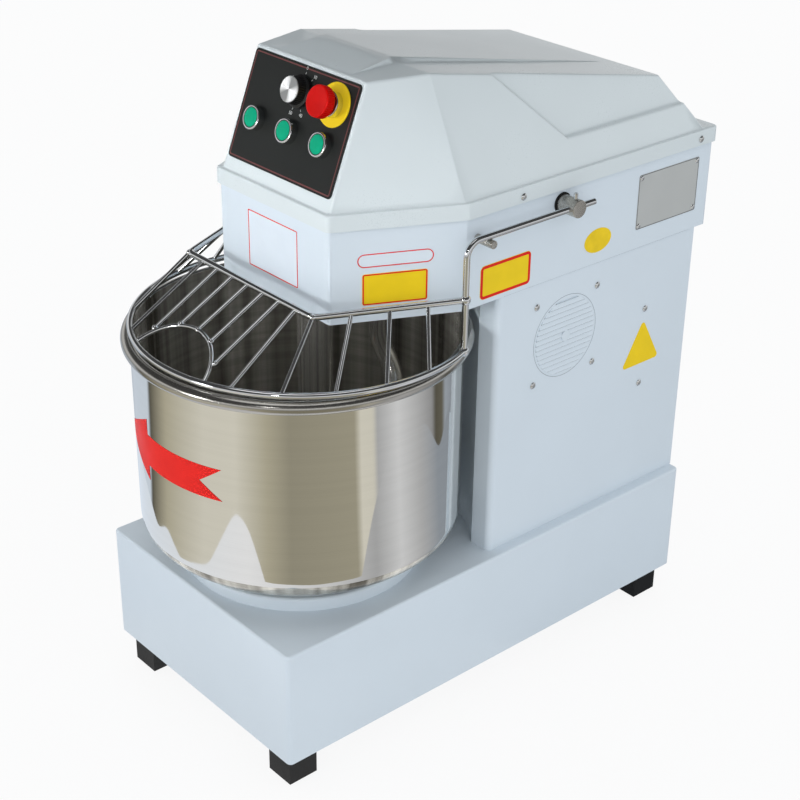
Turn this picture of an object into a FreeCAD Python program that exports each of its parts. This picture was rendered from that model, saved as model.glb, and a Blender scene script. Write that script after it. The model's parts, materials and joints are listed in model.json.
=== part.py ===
import FreeCAD, Part
import math
import os

# Spiral dough mixer with a turning bowl, a spiral hook, a breaker bar and a wire guard that lifts.
# Millimetres. +Z is up, the operator stands at -Y, and X = 0 is the plane of symmetry.
# The origin lies on the floor under the middle of the machine's box.

V = FreeCAD.Vector
X_AXIS = V(1, 0, 0)
Y_AXIS = V(0, 1, 0)
Z_AXIS = V(0, 0, 1)
DOWN = V(0, 0, -1)
SIDES = {"left": -1, "right": 1}

# Sheet, plates and fits
SHEET = 2.5
PLATE = 4.0
SEAT_FIT = 0.02
RUNNING_FIT = 0.05
WELD_GAP = 0.05
CLEARANCE = 0.3

# Base box and feet
FOOT_SIZE = 41.0
FOOT_HEIGHT = 47.0
FOOT_INSET_X = 15.0
FOOT_INSET_Y = 11.0
FOOT_CHAMFER = 2.5
BASE_LEDGE = 15.0
BASE_SETBACK = 34.5
BASE_HEIGHT = 156.0
BASE_CORNER_R = 6.0
BASE_EDGE_R = 3.0

# Column
COLUMN_INSET = 2.0
COLUMN_SETBACK = 56.0
COLUMN_HEIGHT = 352.0
COLUMN_CORNER_R = 8.0
COLUMN_BOWL_GAP = 6.0

# Head casing, seen from above a box with two chamfered front corners
HEAD_NOSE_WIDTH = 201.0
HEAD_NOSE_REACH = 58.5
HEAD_CHAMFER_RUN = 143.5
HEAD_REAR_OVERHANG = 18.0
HEAD_WALL_HEIGHT = 129.0
HEAD_CORNER_R = 4.0

# Top cover: a brim round the casing and a leaning dome
BRIM_OVERHANG = 4.0
BRIM_DROP = 16.5
COVER_WALL = 3.0
COVER_EDGE_R = 4.0
BRIM_EDGE_R = 2.0
DOME_HEIGHT = 136.0
DOME_REAR_HEIGHT = 69.0
DOME_NOSE_INSET = 2.0
DOME_SIDE_INSET = 1.0
DOME_FRONT_INSET = 3.5
DOME_SHOULDER_INSET = 3.0
DOME_REAR_INSET = 19.0
DOME_NOSE_LEAN = 2.0
DOME_SHOULDER_LEAN = 53.0
DOME_REAR_SIDE_LEAN = 29.0
DOME_FRONT_RUN = 53.0
DOME_SHOULDER_RUN = 9.0
DOME_REAR_RUN = 52.0
PLATEAU_RISE = 7.0
PLATEAU_BEVEL = 8.0
PLATEAU_WIDTH = 116.0
PLATEAU_CREASE_GAP = 6.0
PLATEAU_FRONT_INSET = 6.0
PLATEAU_REAR_GAP = 32.0
PLATEAU_EDGE = 0.4
PLATEAU_ROOT = 3.0
RECESS_DEPTH = 7.0
RECESS_RISE = 34.0
RECESS_CORNER_RUN = 174.0
RECESS_TOP_RUN = 89.0

# Control panel on the dome's front face
PANEL_SIDE_MARGIN = 2.5
PANEL_HEIGHT = 128.0
PANEL_MARGIN = 14.0
PANEL_THICKNESS = 1.5
PANEL_CORNER_R = 5.0
CONTROL_PITCH = 60.0
BUTTON_ROW = 51.0
DIAL_ROW = 98.0
CONTROL_NECK_R = 11.0
CONTROL_NECK_LENGTH = 25.0
CONTROL_STEM_R = 8.0
NUT_R = 14.5
NUT_HEIGHT = 5.0
BEZEL_R = 14.2
BEZEL_HEIGHT = 10.0
BEZEL_CHAMFER = 1.2
CAP_R = 11.2
CAP_HEIGHT = 4.5
CAP_PROUD = 0.6
BUTTON_TRAVEL = 3.0
CONTACT_BLOCK = 28.0
CONTACT_BLOCK_DEPTH = 34.0
LEGEND_R = 25.0
LEGEND_THICKNESS = 1.2
STOP_COLLAR_R = 14.5
STOP_COLLAR_HEIGHT = 9.0
STOP_TRAVEL = 5.0
STOP_HEAD_R = 18.0
STOP_HEAD_HEIGHT = 11.5
STOP_HEAD_EDGE_R = 3.0
STOP_HEAD_CAP = 4.0
KNOB_SKIRT_R = 18.5
KNOB_GRIP_R = 16.2
KNOB_SKIRT_HEIGHT = 4.0
KNOB_HEIGHT = 18.0
KNOB_FACE_R = 14.6
KNOB_FACE_HEIGHT = 1.2
KNOB_SHAFT_R = 3.0
TIMER_SIZE = 46.0
TIMER_DEPTH = 38.0

# Bowl
BOWL_AXIS_Y = -164.0
BOWL_WALL_R = 198.5
BOWL_WALL = 2.0
BOWL_BEAD_R = 8.0
BOWL_BEAD_OFFSET = 2.5
BOWL_DEPTH = 261.5
BOWL_LIFT = 40.0
BOWL_CORNER_R = 33.0

# Bowl drive in the base
COLLAR_R = 150.0
COLLAR_BORE_R = 66.0
COLLAR_HEIGHT = 17.0
COLLAR_EDGE_R = 4.0
BOWL_SHAFT_R = 20.0
BOWL_FLANGE_R = 95.0
BOWL_FLANGE_HEIGHT = 12.0
BOWL_HOUSING_R = 47.0
BOWL_HOUSING_FLANGE_R = 62.0
BOWL_HOUSING_FLANGE_HEIGHT = 10.0
BOWL_HOUSING_DROP = 52.0
BOWL_BEARING_R = 40.0
BOWL_BEARING_WIDTH = 18.0

# Hook and its drive in the head
HOOK_WALL_GAP = 6.5
HOOK_ROD_R = 12.0
HOOK_SWEEP_R = 66.0
HOOK_FLOOR_GAP = 9.0
HOOK_STRAIGHT = 52.0
HOOK_TURN_DEG = -330.0
HOOK_START_DEG = 78.0
HOOK_SPREAD = 0.42
HOOK_SPANS = 10
HOOK_FLANGE_R = 38.0
HOOK_FLANGE_HEIGHT = 10.0
HOOK_SHAFT_R = 15.0
HOOK_HOUSING_R = 40.0
HOOK_HOUSING_FLANGE_R = 58.0
HOOK_HOUSING_FLANGE_HEIGHT = 9.0
HOOK_HOUSING_DROP = 10.0
HOOK_HOUSING_HEIGHT = 50.0
HOOK_BEARING_R = 31.0
HOOK_BEARING_WIDTH = 16.0
FLANGE_GAP = 2.0

# Breaker bar
BAR_HOOK_GAP = 11.5
BAR_R = 21.5
BAR_FLOOR_GAP = 10.0
BAR_TOE_R = 6.0
BAR_FLANGE_R = 32.0
BAR_FLANGE_HEIGHT = 8.0

# Belts and pulleys
PULLEY_FACE = 12.0
PULLEY_RIM = 3.0
PULLEY_LIP = 5.0
PULLEY_WEB = 6.0
PULLEY_HUB_WALL = 10.0
PULLEY_SOLID_R = 34.0
BELT_THICKNESS = 6.0
BELT_SIDE_GAP = 1.0
HOOK_PULLEY_R = 65.0
HOOK_DRIVER_R = 45.0
MOTOR_PULLEY_R = 30.0
MOTOR_DRIVEN_R = 96.0
FIRST_DRIVER_R = 27.5
FIRST_DRIVEN_R = 100.0
BOWL_DRIVER_R = 27.5
BOWL_PULLEY_R = 100.0
UPPER_PULLEY_GAP = 2.0
UPPER_BELT_GAP = 16.0
LOWER_PULLEY_GAP = 4.0
LOWER_BELT_GAP = 10.0

# Transmission shaft and countershaft
HOOK_BELT_SPAN = 150.0
TRANSMISSION_R = 14.0
COUNTERSHAFT_INSET = 120.0
COUNTERSHAFT_RUN = 134.0
FIRST_BELT_RUN = 140.0
COUNTERSHAFT_R = 12.0
SHAFT_END_GAP = 3.0
BEARING_UNIT_SIZE = 86.0
BEARING_UNIT_FLANGE = 10.0
BEARING_UNIT_R = 31.0
BEARING_UNIT_HEIGHT = 24.0

# Motor
MOTOR_BELT_SPAN = 146.0
MOTOR_BACK_GAP = 4.5
MOTOR_R = 58.0
MOTOR_BORE_R = 42.0
MOTOR_LENGTH = 190.0
MOTOR_END_SHIELD = 12.0
MOTOR_FIN_COUNT = 24
MOTOR_FIN_HEIGHT = 9.0
MOTOR_FIN_THICKNESS = 3.0
MOTOR_FLANGE_R = 80.0
MOTOR_FLANGE_HEIGHT = 10.0
MOTOR_SHAFT_R = 11.0
MOTOR_AIR_GAP = 0.8
MOTOR_CORE_GAP = 14.0
MOTOR_PLATE_DEPTH = 176.0
MOTOR_PLATE_DROP = 12.0

# Inverter on the inside of the right wall
INVERTER_DEPTH = 44.0
INVERTER_WIDTH = 70.0
INVERTER_HEIGHT = 150.0
INVERTER_RUN = 12.0
INVERTER_RISE = 207.0
INVERTER_FINS = 9
INVERTER_FIN_DEPTH = 10.0

# Side fan and its round louvre
FAN_RUN = 9.5
FAN_DROP = 84.5
FAN_SIZE = 120.0
FAN_DEPTH = 25.0
FAN_DUCT_R = 57.0
FAN_BLADE_GAP = 2.0
FAN_HUB_R = 20.0
FAN_PIN_R = 4.0
FAN_BLADES = 7
FAN_BLADE_THICKNESS = 2.0
FAN_BLADE_PITCH_DEG = 35.0
FAN_BLADE_DEPTH = 13.0
FAN_STRUT = 5.0
FAN_STRUT_COUNT = 3
FAN_CORNER_R = 6.0
LOUVRE_R = 54.5
LOUVRE_COUNT = 15
LOUVRE_RIM = 3.5
LOUVRE_SLOT = 2.4
LOUVRE_HOOD = 1.6
LOUVRE_HUB_R = 7.0

# Cable gland on the back panel
GLAND_R = 11.0
GLAND_LENGTH = 14.0
GLAND_BORE_R = 5.0
GLAND_RISE = 37.0
GLAND_X = 110.0

# Wire guard
ROD_R = 4.0
SPOKE_R = 2.5
GUARD_RIM_INSET = 3.0
GUARD_RIM_GAP = 1.5
GUARD_RING_SHIFT = 11.0
GUARD_END_DEG = 22.7
GUARD_HEAD_GAP = 21.0
GUARD_FRAME_RISE = 27.0
GUARD_FRAME_REACH = 36.5
GUARD_FRAME_SIDE = 17.0
GUARD_FRAME_BEND = 12.0
GUARD_ARM_BEND = 18.0
GUARD_ARM_TAIL = 32.0
GUARD_PIVOT_RUN = 152.0
GUARD_PIVOT_DROP = 34.0
FRONT_SPOKES = 7
FIRST_SPOKE_DEG = 61.9
SPOKE_STEP_DEG = 16.4
SIDE_SPOKES = 3
ARCH_HALF_WIDTH = 67.0
ARCH_DEPTH = 60.0
BOSS_R = 11.0
BOSS_END_GAP = 4.0
PIVOT_SHAFT_R = 8.0
PIVOT_SHAFT_REACH = 26.0
CAM_R = 13.0
CAM_WIDTH = 8.0
CAM_FLAT = 3.0
BUSH_WALL = 2.0
BUSH_FLANGE_R = 13.0
BUSH_FLANGE = 2.0
BUSH_REACH = 10.0
SET_SCREW_R = 2.6
SET_SCREW_PROUD = 7.0
STOP_PIN_R = 5.0
STOP_PIN_INSET = 16.0
STOP_PIN_END_GAP = 3.0
SWITCH_WIDTH = 16.0
SWITCH_DEPTH = 40.0
SWITCH_GAP = 0.5

# Levels that follow from the sizes above
BASE_BOTTOM_Z = FOOT_HEIGHT
BASE_TOP_Z = BASE_BOTTOM_Z + BASE_HEIGHT
BASE_FLOOR_Z = BASE_BOTTOM_Z + PLATE
HEAD_FLOOR_Z = BASE_TOP_Z + COLUMN_HEIGHT
HEAD_DECK_Z = HEAD_FLOOR_Z + SHEET
COVER_SEAT_Z = HEAD_FLOOR_Z + HEAD_WALL_HEIGHT
DOME_FOOT_Z = COVER_SEAT_Z + COVER_WALL
BOWL_FLOOR_Z = BASE_TOP_Z + BOWL_LIFT
BOWL_INNER_FLOOR_Z = BOWL_FLOOR_Z + BOWL_WALL
BOWL_BEAD_Z = BOWL_FLOOR_Z + BOWL_DEPTH
BOWL_HOUSING_BOTTOM_Z = BASE_TOP_Z - BOWL_HOUSING_DROP
HOOK_HOUSING_BOTTOM_Z = HEAD_FLOOR_Z - HOOK_HOUSING_DROP
HOOK_JOINT_Z = HOOK_HOUSING_BOTTOM_Z - FLANGE_GAP - HOOK_FLANGE_HEIGHT
MOTOR_PLATE_Z = HEAD_FLOOR_Z - MOTOR_PLATE_DROP
PULLEY_WIDTH = PULLEY_FACE + 2 * PULLEY_RIM
MOTOR_BELT_Z = HOOK_HOUSING_BOTTOM_Z + HOOK_HOUSING_HEIGHT + UPPER_PULLEY_GAP + PULLEY_WIDTH / 2
HOOK_BELT_Z = MOTOR_BELT_Z + PULLEY_WIDTH + UPPER_BELT_GAP
BOWL_BELT_Z = BOWL_HOUSING_BOTTOM_Z - LOWER_PULLEY_GAP - PULLEY_WIDTH / 2
FIRST_BELT_Z = BOWL_BELT_Z - PULLEY_WIDTH - LOWER_BELT_GAP
FAN_Z = HEAD_FLOOR_Z - FAN_DROP
INVERTER_Z = BASE_TOP_Z + INVERTER_RISE
GLAND_Z = BASE_TOP_Z + GLAND_RISE
GUARD_RING_Z = BOWL_BEAD_Z + BOWL_BEAD_R + GUARD_RIM_GAP + ROD_R
GUARD_FRAME_Z = HEAD_FLOOR_Z + GUARD_FRAME_RISE
GUARD_PIVOT_Z = COVER_SEAT_Z - GUARD_PIVOT_DROP

# Widths that follow from the bowl: the guard spans its rim, and the head fits between the guard's arms
BOWL_RIM_R = BOWL_WALL_R + BOWL_BEAD_OFFSET + BOWL_BEAD_R
GUARD_RING_R = BOWL_RIM_R - GUARD_RIM_INSET
GUARD_ARM_X = GUARD_RING_R * math.cos(math.radians(GUARD_END_DEG))
HEAD_HALF = GUARD_ARM_X - GUARD_HEAD_GAP
HEAD_WIDTH = 2 * HEAD_HALF
COLUMN_WIDTH = HEAD_WIDTH - 2 * COLUMN_INSET
COLUMN_INNER_X = COLUMN_WIDTH / 2 - SHEET
BASE_WIDTH = COLUMN_WIDTH + 2 * BASE_LEDGE
COUNTERSHAFT_X = BASE_WIDTH / 2 - COUNTERSHAFT_INSET
DOME_FOOT_NOSE_WIDTH = HEAD_NOSE_WIDTH - 2 * DOME_NOSE_INSET
DOME_FOOT_WIDTH = HEAD_WIDTH - 2 * DOME_SIDE_INSET
DOME_TOP_NOSE_WIDTH = DOME_FOOT_NOSE_WIDTH - 2 * DOME_NOSE_LEAN
DOME_TOP_SHOULDER_WIDTH = DOME_FOOT_WIDTH - 2 * DOME_SHOULDER_LEAN
DOME_TOP_REAR_WIDTH = DOME_FOOT_WIDTH - 2 * DOME_REAR_SIDE_LEAN
PANEL_WIDTH = DOME_TOP_NOSE_WIDTH - 2 * PANEL_SIDE_MARGIN
GUARD_FRAME_WIDTH = HEAD_NOSE_WIDTH + 2 * GUARD_FRAME_SIDE
STOP_PIN_LENGTH = GUARD_HEAD_GAP + ROD_R + STOP_PIN_END_GAP

# Places along the machine, from the bowl's axis back through the belt drives to the rear wall
BASE_FRONT_Y = BOWL_AXIS_Y - BOWL_WALL_R + BASE_SETBACK
HOOK_AXIS_Y = BOWL_AXIS_Y + BOWL_WALL_R - BOWL_WALL - HOOK_WALL_GAP - HOOK_SWEEP_R
BAR_AXIS_Y = HOOK_AXIS_Y - HOOK_SWEEP_R - BAR_HOOK_GAP - BAR_R
HEAD_FRONT_Y = BAR_AXIS_Y - HEAD_NOSE_REACH
HEAD_SHOULDER_Y = HEAD_FRONT_Y + HEAD_CHAMFER_RUN
COLUMN_FRONT_Y = HEAD_SHOULDER_Y + COLUMN_SETBACK
COUNTERSHAFT_Y = BOWL_AXIS_Y + COUNTERSHAFT_RUN
TRANSMISSION_Y = max(HOOK_AXIS_Y + HOOK_BELT_SPAN, COUNTERSHAFT_Y + FIRST_BELT_RUN)
MOTOR_Y = TRANSMISSION_Y + MOTOR_BELT_SPAN
BACK_PANEL_Y = MOTOR_Y + MOTOR_PLATE_DEPTH / 2 + MOTOR_BACK_GAP
BASE_REAR_Y = BACK_PANEL_Y + SHEET
HEAD_REAR_Y = BASE_REAR_Y + HEAD_REAR_OVERHANG
FAN_Y = TRANSMISSION_Y + FAN_RUN
INVERTER_Y = MOTOR_Y + INVERTER_RUN
DOME_FOOT_FRONT_Y = HEAD_FRONT_Y + DOME_FRONT_INSET
DOME_FOOT_SHOULDER_Y = HEAD_SHOULDER_Y - DOME_SHOULDER_INSET
DOME_FOOT_REAR_Y = HEAD_REAR_Y - DOME_REAR_INSET
DOME_TOP_FRONT_Y = DOME_FOOT_FRONT_Y + DOME_FRONT_RUN
DOME_TOP_SHOULDER_Y = DOME_FOOT_SHOULDER_Y - DOME_SHOULDER_RUN
DOME_TOP_REAR_Y = DOME_FOOT_REAR_Y - DOME_REAR_RUN
PLATEAU_CREASE_Y = DOME_TOP_SHOULDER_Y - PLATEAU_CREASE_GAP
PLATEAU_REAR_Y = DOME_TOP_REAR_Y - PLATEAU_REAR_GAP
RECESS_CORNER_Y = DOME_FOOT_SHOULDER_Y + RECESS_CORNER_RUN
RECESS_TOP_Y = DOME_TOP_SHOULDER_Y + RECESS_TOP_RUN
GUARD_RING_Y = BOWL_AXIS_Y + GUARD_RING_SHIFT
GUARD_FRAME_Y = HEAD_FRONT_Y - GUARD_FRAME_REACH
STOP_PIN_Y = HEAD_SHOULDER_Y + STOP_PIN_INSET
GUARD_PIVOT_Y = HEAD_SHOULDER_Y + GUARD_PIVOT_RUN

# The sloped front face that carries the controls
FRONT_LEAN = math.atan2(DOME_FRONT_RUN, DOME_HEIGHT)
REAR_SLOPE = (DOME_HEIGHT - DOME_REAR_HEIGHT) / (DOME_TOP_REAR_Y - DOME_TOP_SHOULDER_Y)
PANEL_UP = V(0, math.sin(FRONT_LEAN), math.cos(FRONT_LEAN))
PANEL_OUT = V(0, -math.cos(FRONT_LEAN), math.sin(FRONT_LEAN))
PANEL_FOOT = V(0, DOME_FOOT_FRONT_Y, DOME_FOOT_Z) + PANEL_UP * PANEL_MARGIN
GUARD_END_ANGLE = math.radians(GUARD_END_DEG)
GUARD_END_Y = GUARD_RING_Y + GUARD_RING_R * math.sin(GUARD_END_ANGLE)


def box(x0, x1, y0, y1, z0, z1):
    """A box between two corners."""
    return Part.makeBox(x1 - x0, y1 - y0, z1 - z0, V(x0, y0, z0))


def cylinder(radius, start, axis, length):
    """A cylinder that starts at a point and runs along an axis."""
    return Part.makeCylinder(radius, length, start, axis)


def ring(outer, inner, start, axis, length):
    """A flat ring or tube."""
    return cylinder(outer, start, axis, length).cut(cylinder(inner, start, axis, length))


def revolve(profile, centre, axis, across):
    """Turn a closed profile of (radius, height) points about an axis through a centre."""
    points = [centre + across * radius + axis * height for radius, height in profile]
    face = Part.Face(Part.makePolygon(points + points[:1]))
    return face.revolve(centre, axis, 360)


def upright_edges(shape):
    """The straight edges of a shape that stand upright."""
    found = []
    for edge in shape.Edges:
        first, last = edge.Vertexes[0].Point, edge.Vertexes[-1].Point
        if abs(first.z - last.z) > SHEET and (first - last).cross(Z_AXIS).Length < SEAT_FIT:
            found.append(edge)
    return found


def edges_at_height(shape, z):
    """The edges of a shape that lie wholly at one height."""
    return [e for e in shape.Edges if abs(e.BoundBox.ZMin - z) + abs(e.BoundBox.ZMax - z) < SEAT_FIT]


def rounded_path(points, radius):
    """A wire of straight runs with a tangent arc of one radius at each corner."""
    edges = []
    start = points[0]
    for before, corner, after in zip(points, points[1:], points[2:]):
        incoming = (corner - before).normalize()
        outgoing = (after - corner).normalize()
        half_turn = incoming.getAngle(outgoing) / 2
        reach = radius * math.tan(half_turn)
        inward = (outgoing - incoming).normalize()
        middle = corner + inward * (radius / math.cos(half_turn) - radius)
        arc_start = corner - incoming * reach
        arc_end = corner + outgoing * reach
        edges.append(Part.LineSegment(start, arc_start).toShape())
        edges.append(Part.Arc(arc_start, middle, arc_end).toShape())
        start = arc_end
    edges.append(Part.LineSegment(start, points[-1]).toShape())
    return Part.Wire(edges)


def rod_along(path, radius):
    """A round rod that follows a wire."""
    first = path.Edges[0]
    start = first.valueAt(first.FirstParameter)
    heading = first.tangentAt(first.FirstParameter)
    section = Part.Wire(Part.Circle(start, heading, radius).toShape())
    return path.makePipeShell([section], True, False)


def straight_rod(start, end, radius):
    """A round rod between two points."""
    return cylinder(radius, start, end - start, (end - start).Length)


def base_housing():
    """Sheet box of the base, open below, with holes for the bowl bearing and the upright shaft."""
    half = BASE_WIDTH / 2
    outer = box(-half, half, BASE_FRONT_Y, BASE_REAR_Y, BASE_BOTTOM_Z, BASE_TOP_Z)
    outer = outer.makeFillet(BASE_CORNER_R, upright_edges(outer))
    outer = outer.makeFillet(BASE_EDGE_R, edges_at_height(outer, BASE_TOP_Z))
    inner = box(
        SHEET - half,
        half - SHEET,
        BASE_FRONT_Y + SHEET,
        BASE_REAR_Y - SHEET,
        BASE_BOTTOM_Z,
        BASE_TOP_Z - SHEET,
    )
    inner = inner.makeFillet(BASE_CORNER_R - SHEET, upright_edges(inner))
    shell = outer.cut(inner)
    bowl_hole = cylinder(BOWL_HOUSING_R + CLEARANCE, V(0, BOWL_AXIS_Y, BASE_BOTTOM_Z), Z_AXIS, BASE_HEIGHT)
    shaft_hole = cylinder(2 * TRANSMISSION_R, V(0, TRANSMISSION_Y, BASE_BOTTOM_Z), Z_AXIS, BASE_HEIGHT)
    return shell.cut(bowl_hole).cut(shaft_hole)


def base_bottom_plate():
    """Plate that closes the base between its walls and carries the lower bearing units."""
    half = BASE_WIDTH / 2 - SHEET
    plate = box(
        CLEARANCE - half,
        half - CLEARANCE,
        BASE_FRONT_Y + SHEET + CLEARANCE,
        BASE_REAR_Y - SHEET - CLEARANCE,
        BASE_BOTTOM_Z,
        BASE_FLOOR_Z,
    )
    return plate.makeFillet(BASE_CORNER_R - SHEET, upright_edges(plate))


def foot(side, end):
    """Square foot block with a chamfered sole, under one corner of the base."""
    centre_x = side * (BASE_WIDTH / 2 - FOOT_INSET_X - FOOT_SIZE / 2)
    front_y = BASE_FRONT_Y + FOOT_INSET_Y
    rear_y = BASE_REAR_Y - FOOT_INSET_Y - FOOT_SIZE
    start_y = front_y if end == "front" else rear_y
    half = FOOT_SIZE / 2
    block = box(centre_x - half, centre_x + half, start_y, start_y + FOOT_SIZE, 0, FOOT_HEIGHT)
    return block.makeChamfer(FOOT_CHAMFER, edges_at_height(block, 0))


def bowl_seat_collar():
    """Raised round collar on the base under the bowl."""
    start = V(0, BOWL_AXIS_Y, BASE_TOP_Z)
    solid = ring(COLLAR_R, COLLAR_BORE_R, start, Z_AXIS, COLLAR_HEIGHT)
    top_edges = edges_at_height(solid, BASE_TOP_Z + COLLAR_HEIGHT)
    rim = [e for e in top_edges if e.BoundBox.XMax > (COLLAR_R + COLLAR_BORE_R) / 2]
    return solid.makeFillet(COLLAR_EDGE_R, rim)


def column_solid(inset):
    """The column's body, moved in by an inset: rounded front corners and a hollow front round the bowl."""
    half = COLUMN_WIDTH / 2 - inset
    front_y = COLUMN_FRONT_Y + inset
    body = box(-half, half, front_y, BASE_REAR_Y, BASE_TOP_Z, HEAD_FLOOR_Z)
    front = [e for e in upright_edges(body) if e.BoundBox.YMax < front_y + SHEET]
    body = body.makeFillet(COLUMN_CORNER_R - inset, front)
    nest_r = BOWL_RIM_R + COLUMN_BOWL_GAP + inset
    return body.cut(cylinder(nest_r, V(0, BOWL_AXIS_Y, BASE_TOP_Z), Z_AXIS, COLUMN_HEIGHT))


def column_housing():
    """Sheet column, open behind, with the round hole of the side louvre."""
    louvre_hole = cylinder(LOUVRE_R + SEAT_FIT, V(0, FAN_Y, FAN_Z), X_AXIS, COLUMN_WIDTH)
    return column_solid(0).cut(column_solid(SHEET)).cut(louvre_hole)


def column_back_panel():
    """Plain sheet that closes the column behind, with a hole for the cable gland."""
    half = COLUMN_INNER_X - CLEARANCE
    sheet = box(-half, half, BACK_PANEL_Y, BASE_REAR_Y, BASE_TOP_Z, HEAD_FLOOR_Z)
    hole = cylinder(GLAND_BORE_R + SHEET, V(GLAND_X, BACK_PANEL_Y, GLAND_Z), Y_AXIS, SHEET)
    return sheet.cut(hole)


def cable_gland():
    """Gland with a hexagon body and a through bore on the back panel."""
    start = V(GLAND_X, BASE_REAR_Y, GLAND_Z)
    corners = []
    for step in range(6):
        turn = math.radians(60 * step)
        corners.append(start + V(GLAND_R * math.cos(turn), 0, GLAND_R * math.sin(turn)))
    hexagon = Part.Face(Part.makePolygon(corners + corners[:1]))
    body = hexagon.extrude(Y_AXIS * (GLAND_LENGTH / 2))
    dome = cylinder(GLAND_R * math.cos(math.radians(30)), start, Y_AXIS, GLAND_LENGTH)
    tail = cylinder(GLAND_BORE_R + SHEET - SEAT_FIT, start - Y_AXIS * SHEET, Y_AXIS, SHEET)
    bore = cylinder(GLAND_BORE_R, start - Y_AXIS * SHEET, Y_AXIS, GLAND_LENGTH + SHEET)
    return body.fuse(dome).fuse(tail).cut(bore)


def fan_grille():
    """Round louvre pressed in the column's right wall: slots under slanted hoods, and a plain hub."""
    inner_x = COLUMN_WIDTH / 2 - SHEET
    centre = V(inner_x, FAN_Y, FAN_Z)
    disc = cylinder(LOUVRE_R, centre, X_AXIS, SHEET)
    slotted_r = LOUVRE_R - LOUVRE_RIM
    zone = cylinder(slotted_r, centre - X_AXIS * SHEET, X_AXIS, 4 * SHEET)
    hub = cylinder(LOUVRE_HUB_R, centre, X_AXIS, SHEET + LOUVRE_HOOD)
    pitch = 2 * slotted_r / LOUVRE_COUNT
    face_x = COLUMN_WIDTH / 2
    slots = []
    hoods = []
    for step in range(LOUVRE_COUNT):
        low = FAN_Z - slotted_r + pitch * (step + 0.5) - LOUVRE_SLOT / 2
        slots.append(box(inner_x, face_x, FAN_Y - slotted_r, FAN_Y + slotted_r, low, low + LOUVRE_SLOT))
        root = low + LOUVRE_SLOT
        profile = [
            V(inner_x, FAN_Y - slotted_r, root + SHEET / 2),
            V(inner_x, FAN_Y - slotted_r, root),
            V(face_x + LOUVRE_HOOD, FAN_Y - slotted_r, low + LOUVRE_SLOT / 2),
            V(face_x + LOUVRE_HOOD, FAN_Y - slotted_r, low + LOUVRE_SLOT),
            V(face_x, FAN_Y - slotted_r, root + SHEET / 2),
        ]
        hood = Part.Face(Part.makePolygon(profile + profile[:1]))
        hoods.append(hood.extrude(Y_AXIS * (2 * slotted_r)))
    openings = Part.makeCompound(slots).common(zone)
    blades = Part.makeCompound(hoods).common(zone)
    return disc.cut(openings).fuse(blades.Solids).fuse(hub).removeSplitter()


def head_outline(offset):
    """Plan outline of the head casing, moved outwards by an offset."""
    nose = HEAD_NOSE_WIDTH / 2
    corners = [
        V(-nose, HEAD_FRONT_Y, 0),
        V(nose, HEAD_FRONT_Y, 0),
        V(HEAD_HALF, HEAD_SHOULDER_Y, 0),
        V(HEAD_HALF, HEAD_REAR_Y, 0),
        V(-HEAD_HALF, HEAD_REAR_Y, 0),
        V(-HEAD_HALF, HEAD_SHOULDER_Y, 0),
    ]
    face = Part.Face(Part.makePolygon(corners + corners[:1]))
    return face if offset == 0 else face.makeOffset2D(offset, 2)


def head_prism(offset, low, high):
    """The head outline, moved by an offset and raised between two heights."""
    solid = head_outline(offset).extrude(Z_AXIS * (high - low))
    solid.translate(V(0, 0, low))
    return solid


def head_casing():
    """Sheet tray of the head: floor and walls, open above, with holes for shafts and guard pivots."""
    outer = head_prism(0, HEAD_FLOOR_Z, COVER_SEAT_Z)
    outer = outer.makeFillet(HEAD_CORNER_R, upright_edges(outer))
    inner = head_prism(-SHEET, HEAD_DECK_Z, COVER_SEAT_Z)
    inner = inner.makeFillet(HEAD_CORNER_R - SHEET, upright_edges(inner))
    tray = outer.cut(inner)
    holes = [
        (HOOK_AXIS_Y, HOOK_HOUSING_R + CLEARANCE),
        (TRANSMISSION_Y, 2 * TRANSMISSION_R),
        (MOTOR_Y, 2 * MOTOR_SHAFT_R),
    ]
    for centre_y, radius in holes:
        tray = tray.cut(cylinder(radius, V(0, centre_y, HEAD_FLOOR_Z), Z_AXIS, SHEET))
    pivot_hole = cylinder(
        PIVOT_SHAFT_R + RUNNING_FIT + BUSH_WALL + SEAT_FIT,
        V(-HEAD_WIDTH, GUARD_PIVOT_Y, GUARD_PIVOT_Z),
        X_AXIS,
        2 * HEAD_WIDTH,
    )
    return tray.cut(pivot_hole)


def top_height(y):
    """Height of the dome's roof over its foot at a place along Y."""
    return DOME_HEIGHT - max(0, y - DOME_TOP_SHOULDER_Y) * REAR_SLOPE


def ruled_face(first, second):
    """A ruled face between two straight edges given by their end points."""
    return Part.makeRuledSurface(
        Part.LineSegment(*first).toShape(),
        Part.LineSegment(*second).toShape(),
    )


def flat_face(points):
    """A flat face through a ring of points."""
    return Part.Face(Part.makePolygon(points + points[:1]))


def mirrored(point):
    """The same point on the other side of the symmetry plane."""
    return V(-point.x, point.y, point.z)


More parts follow.
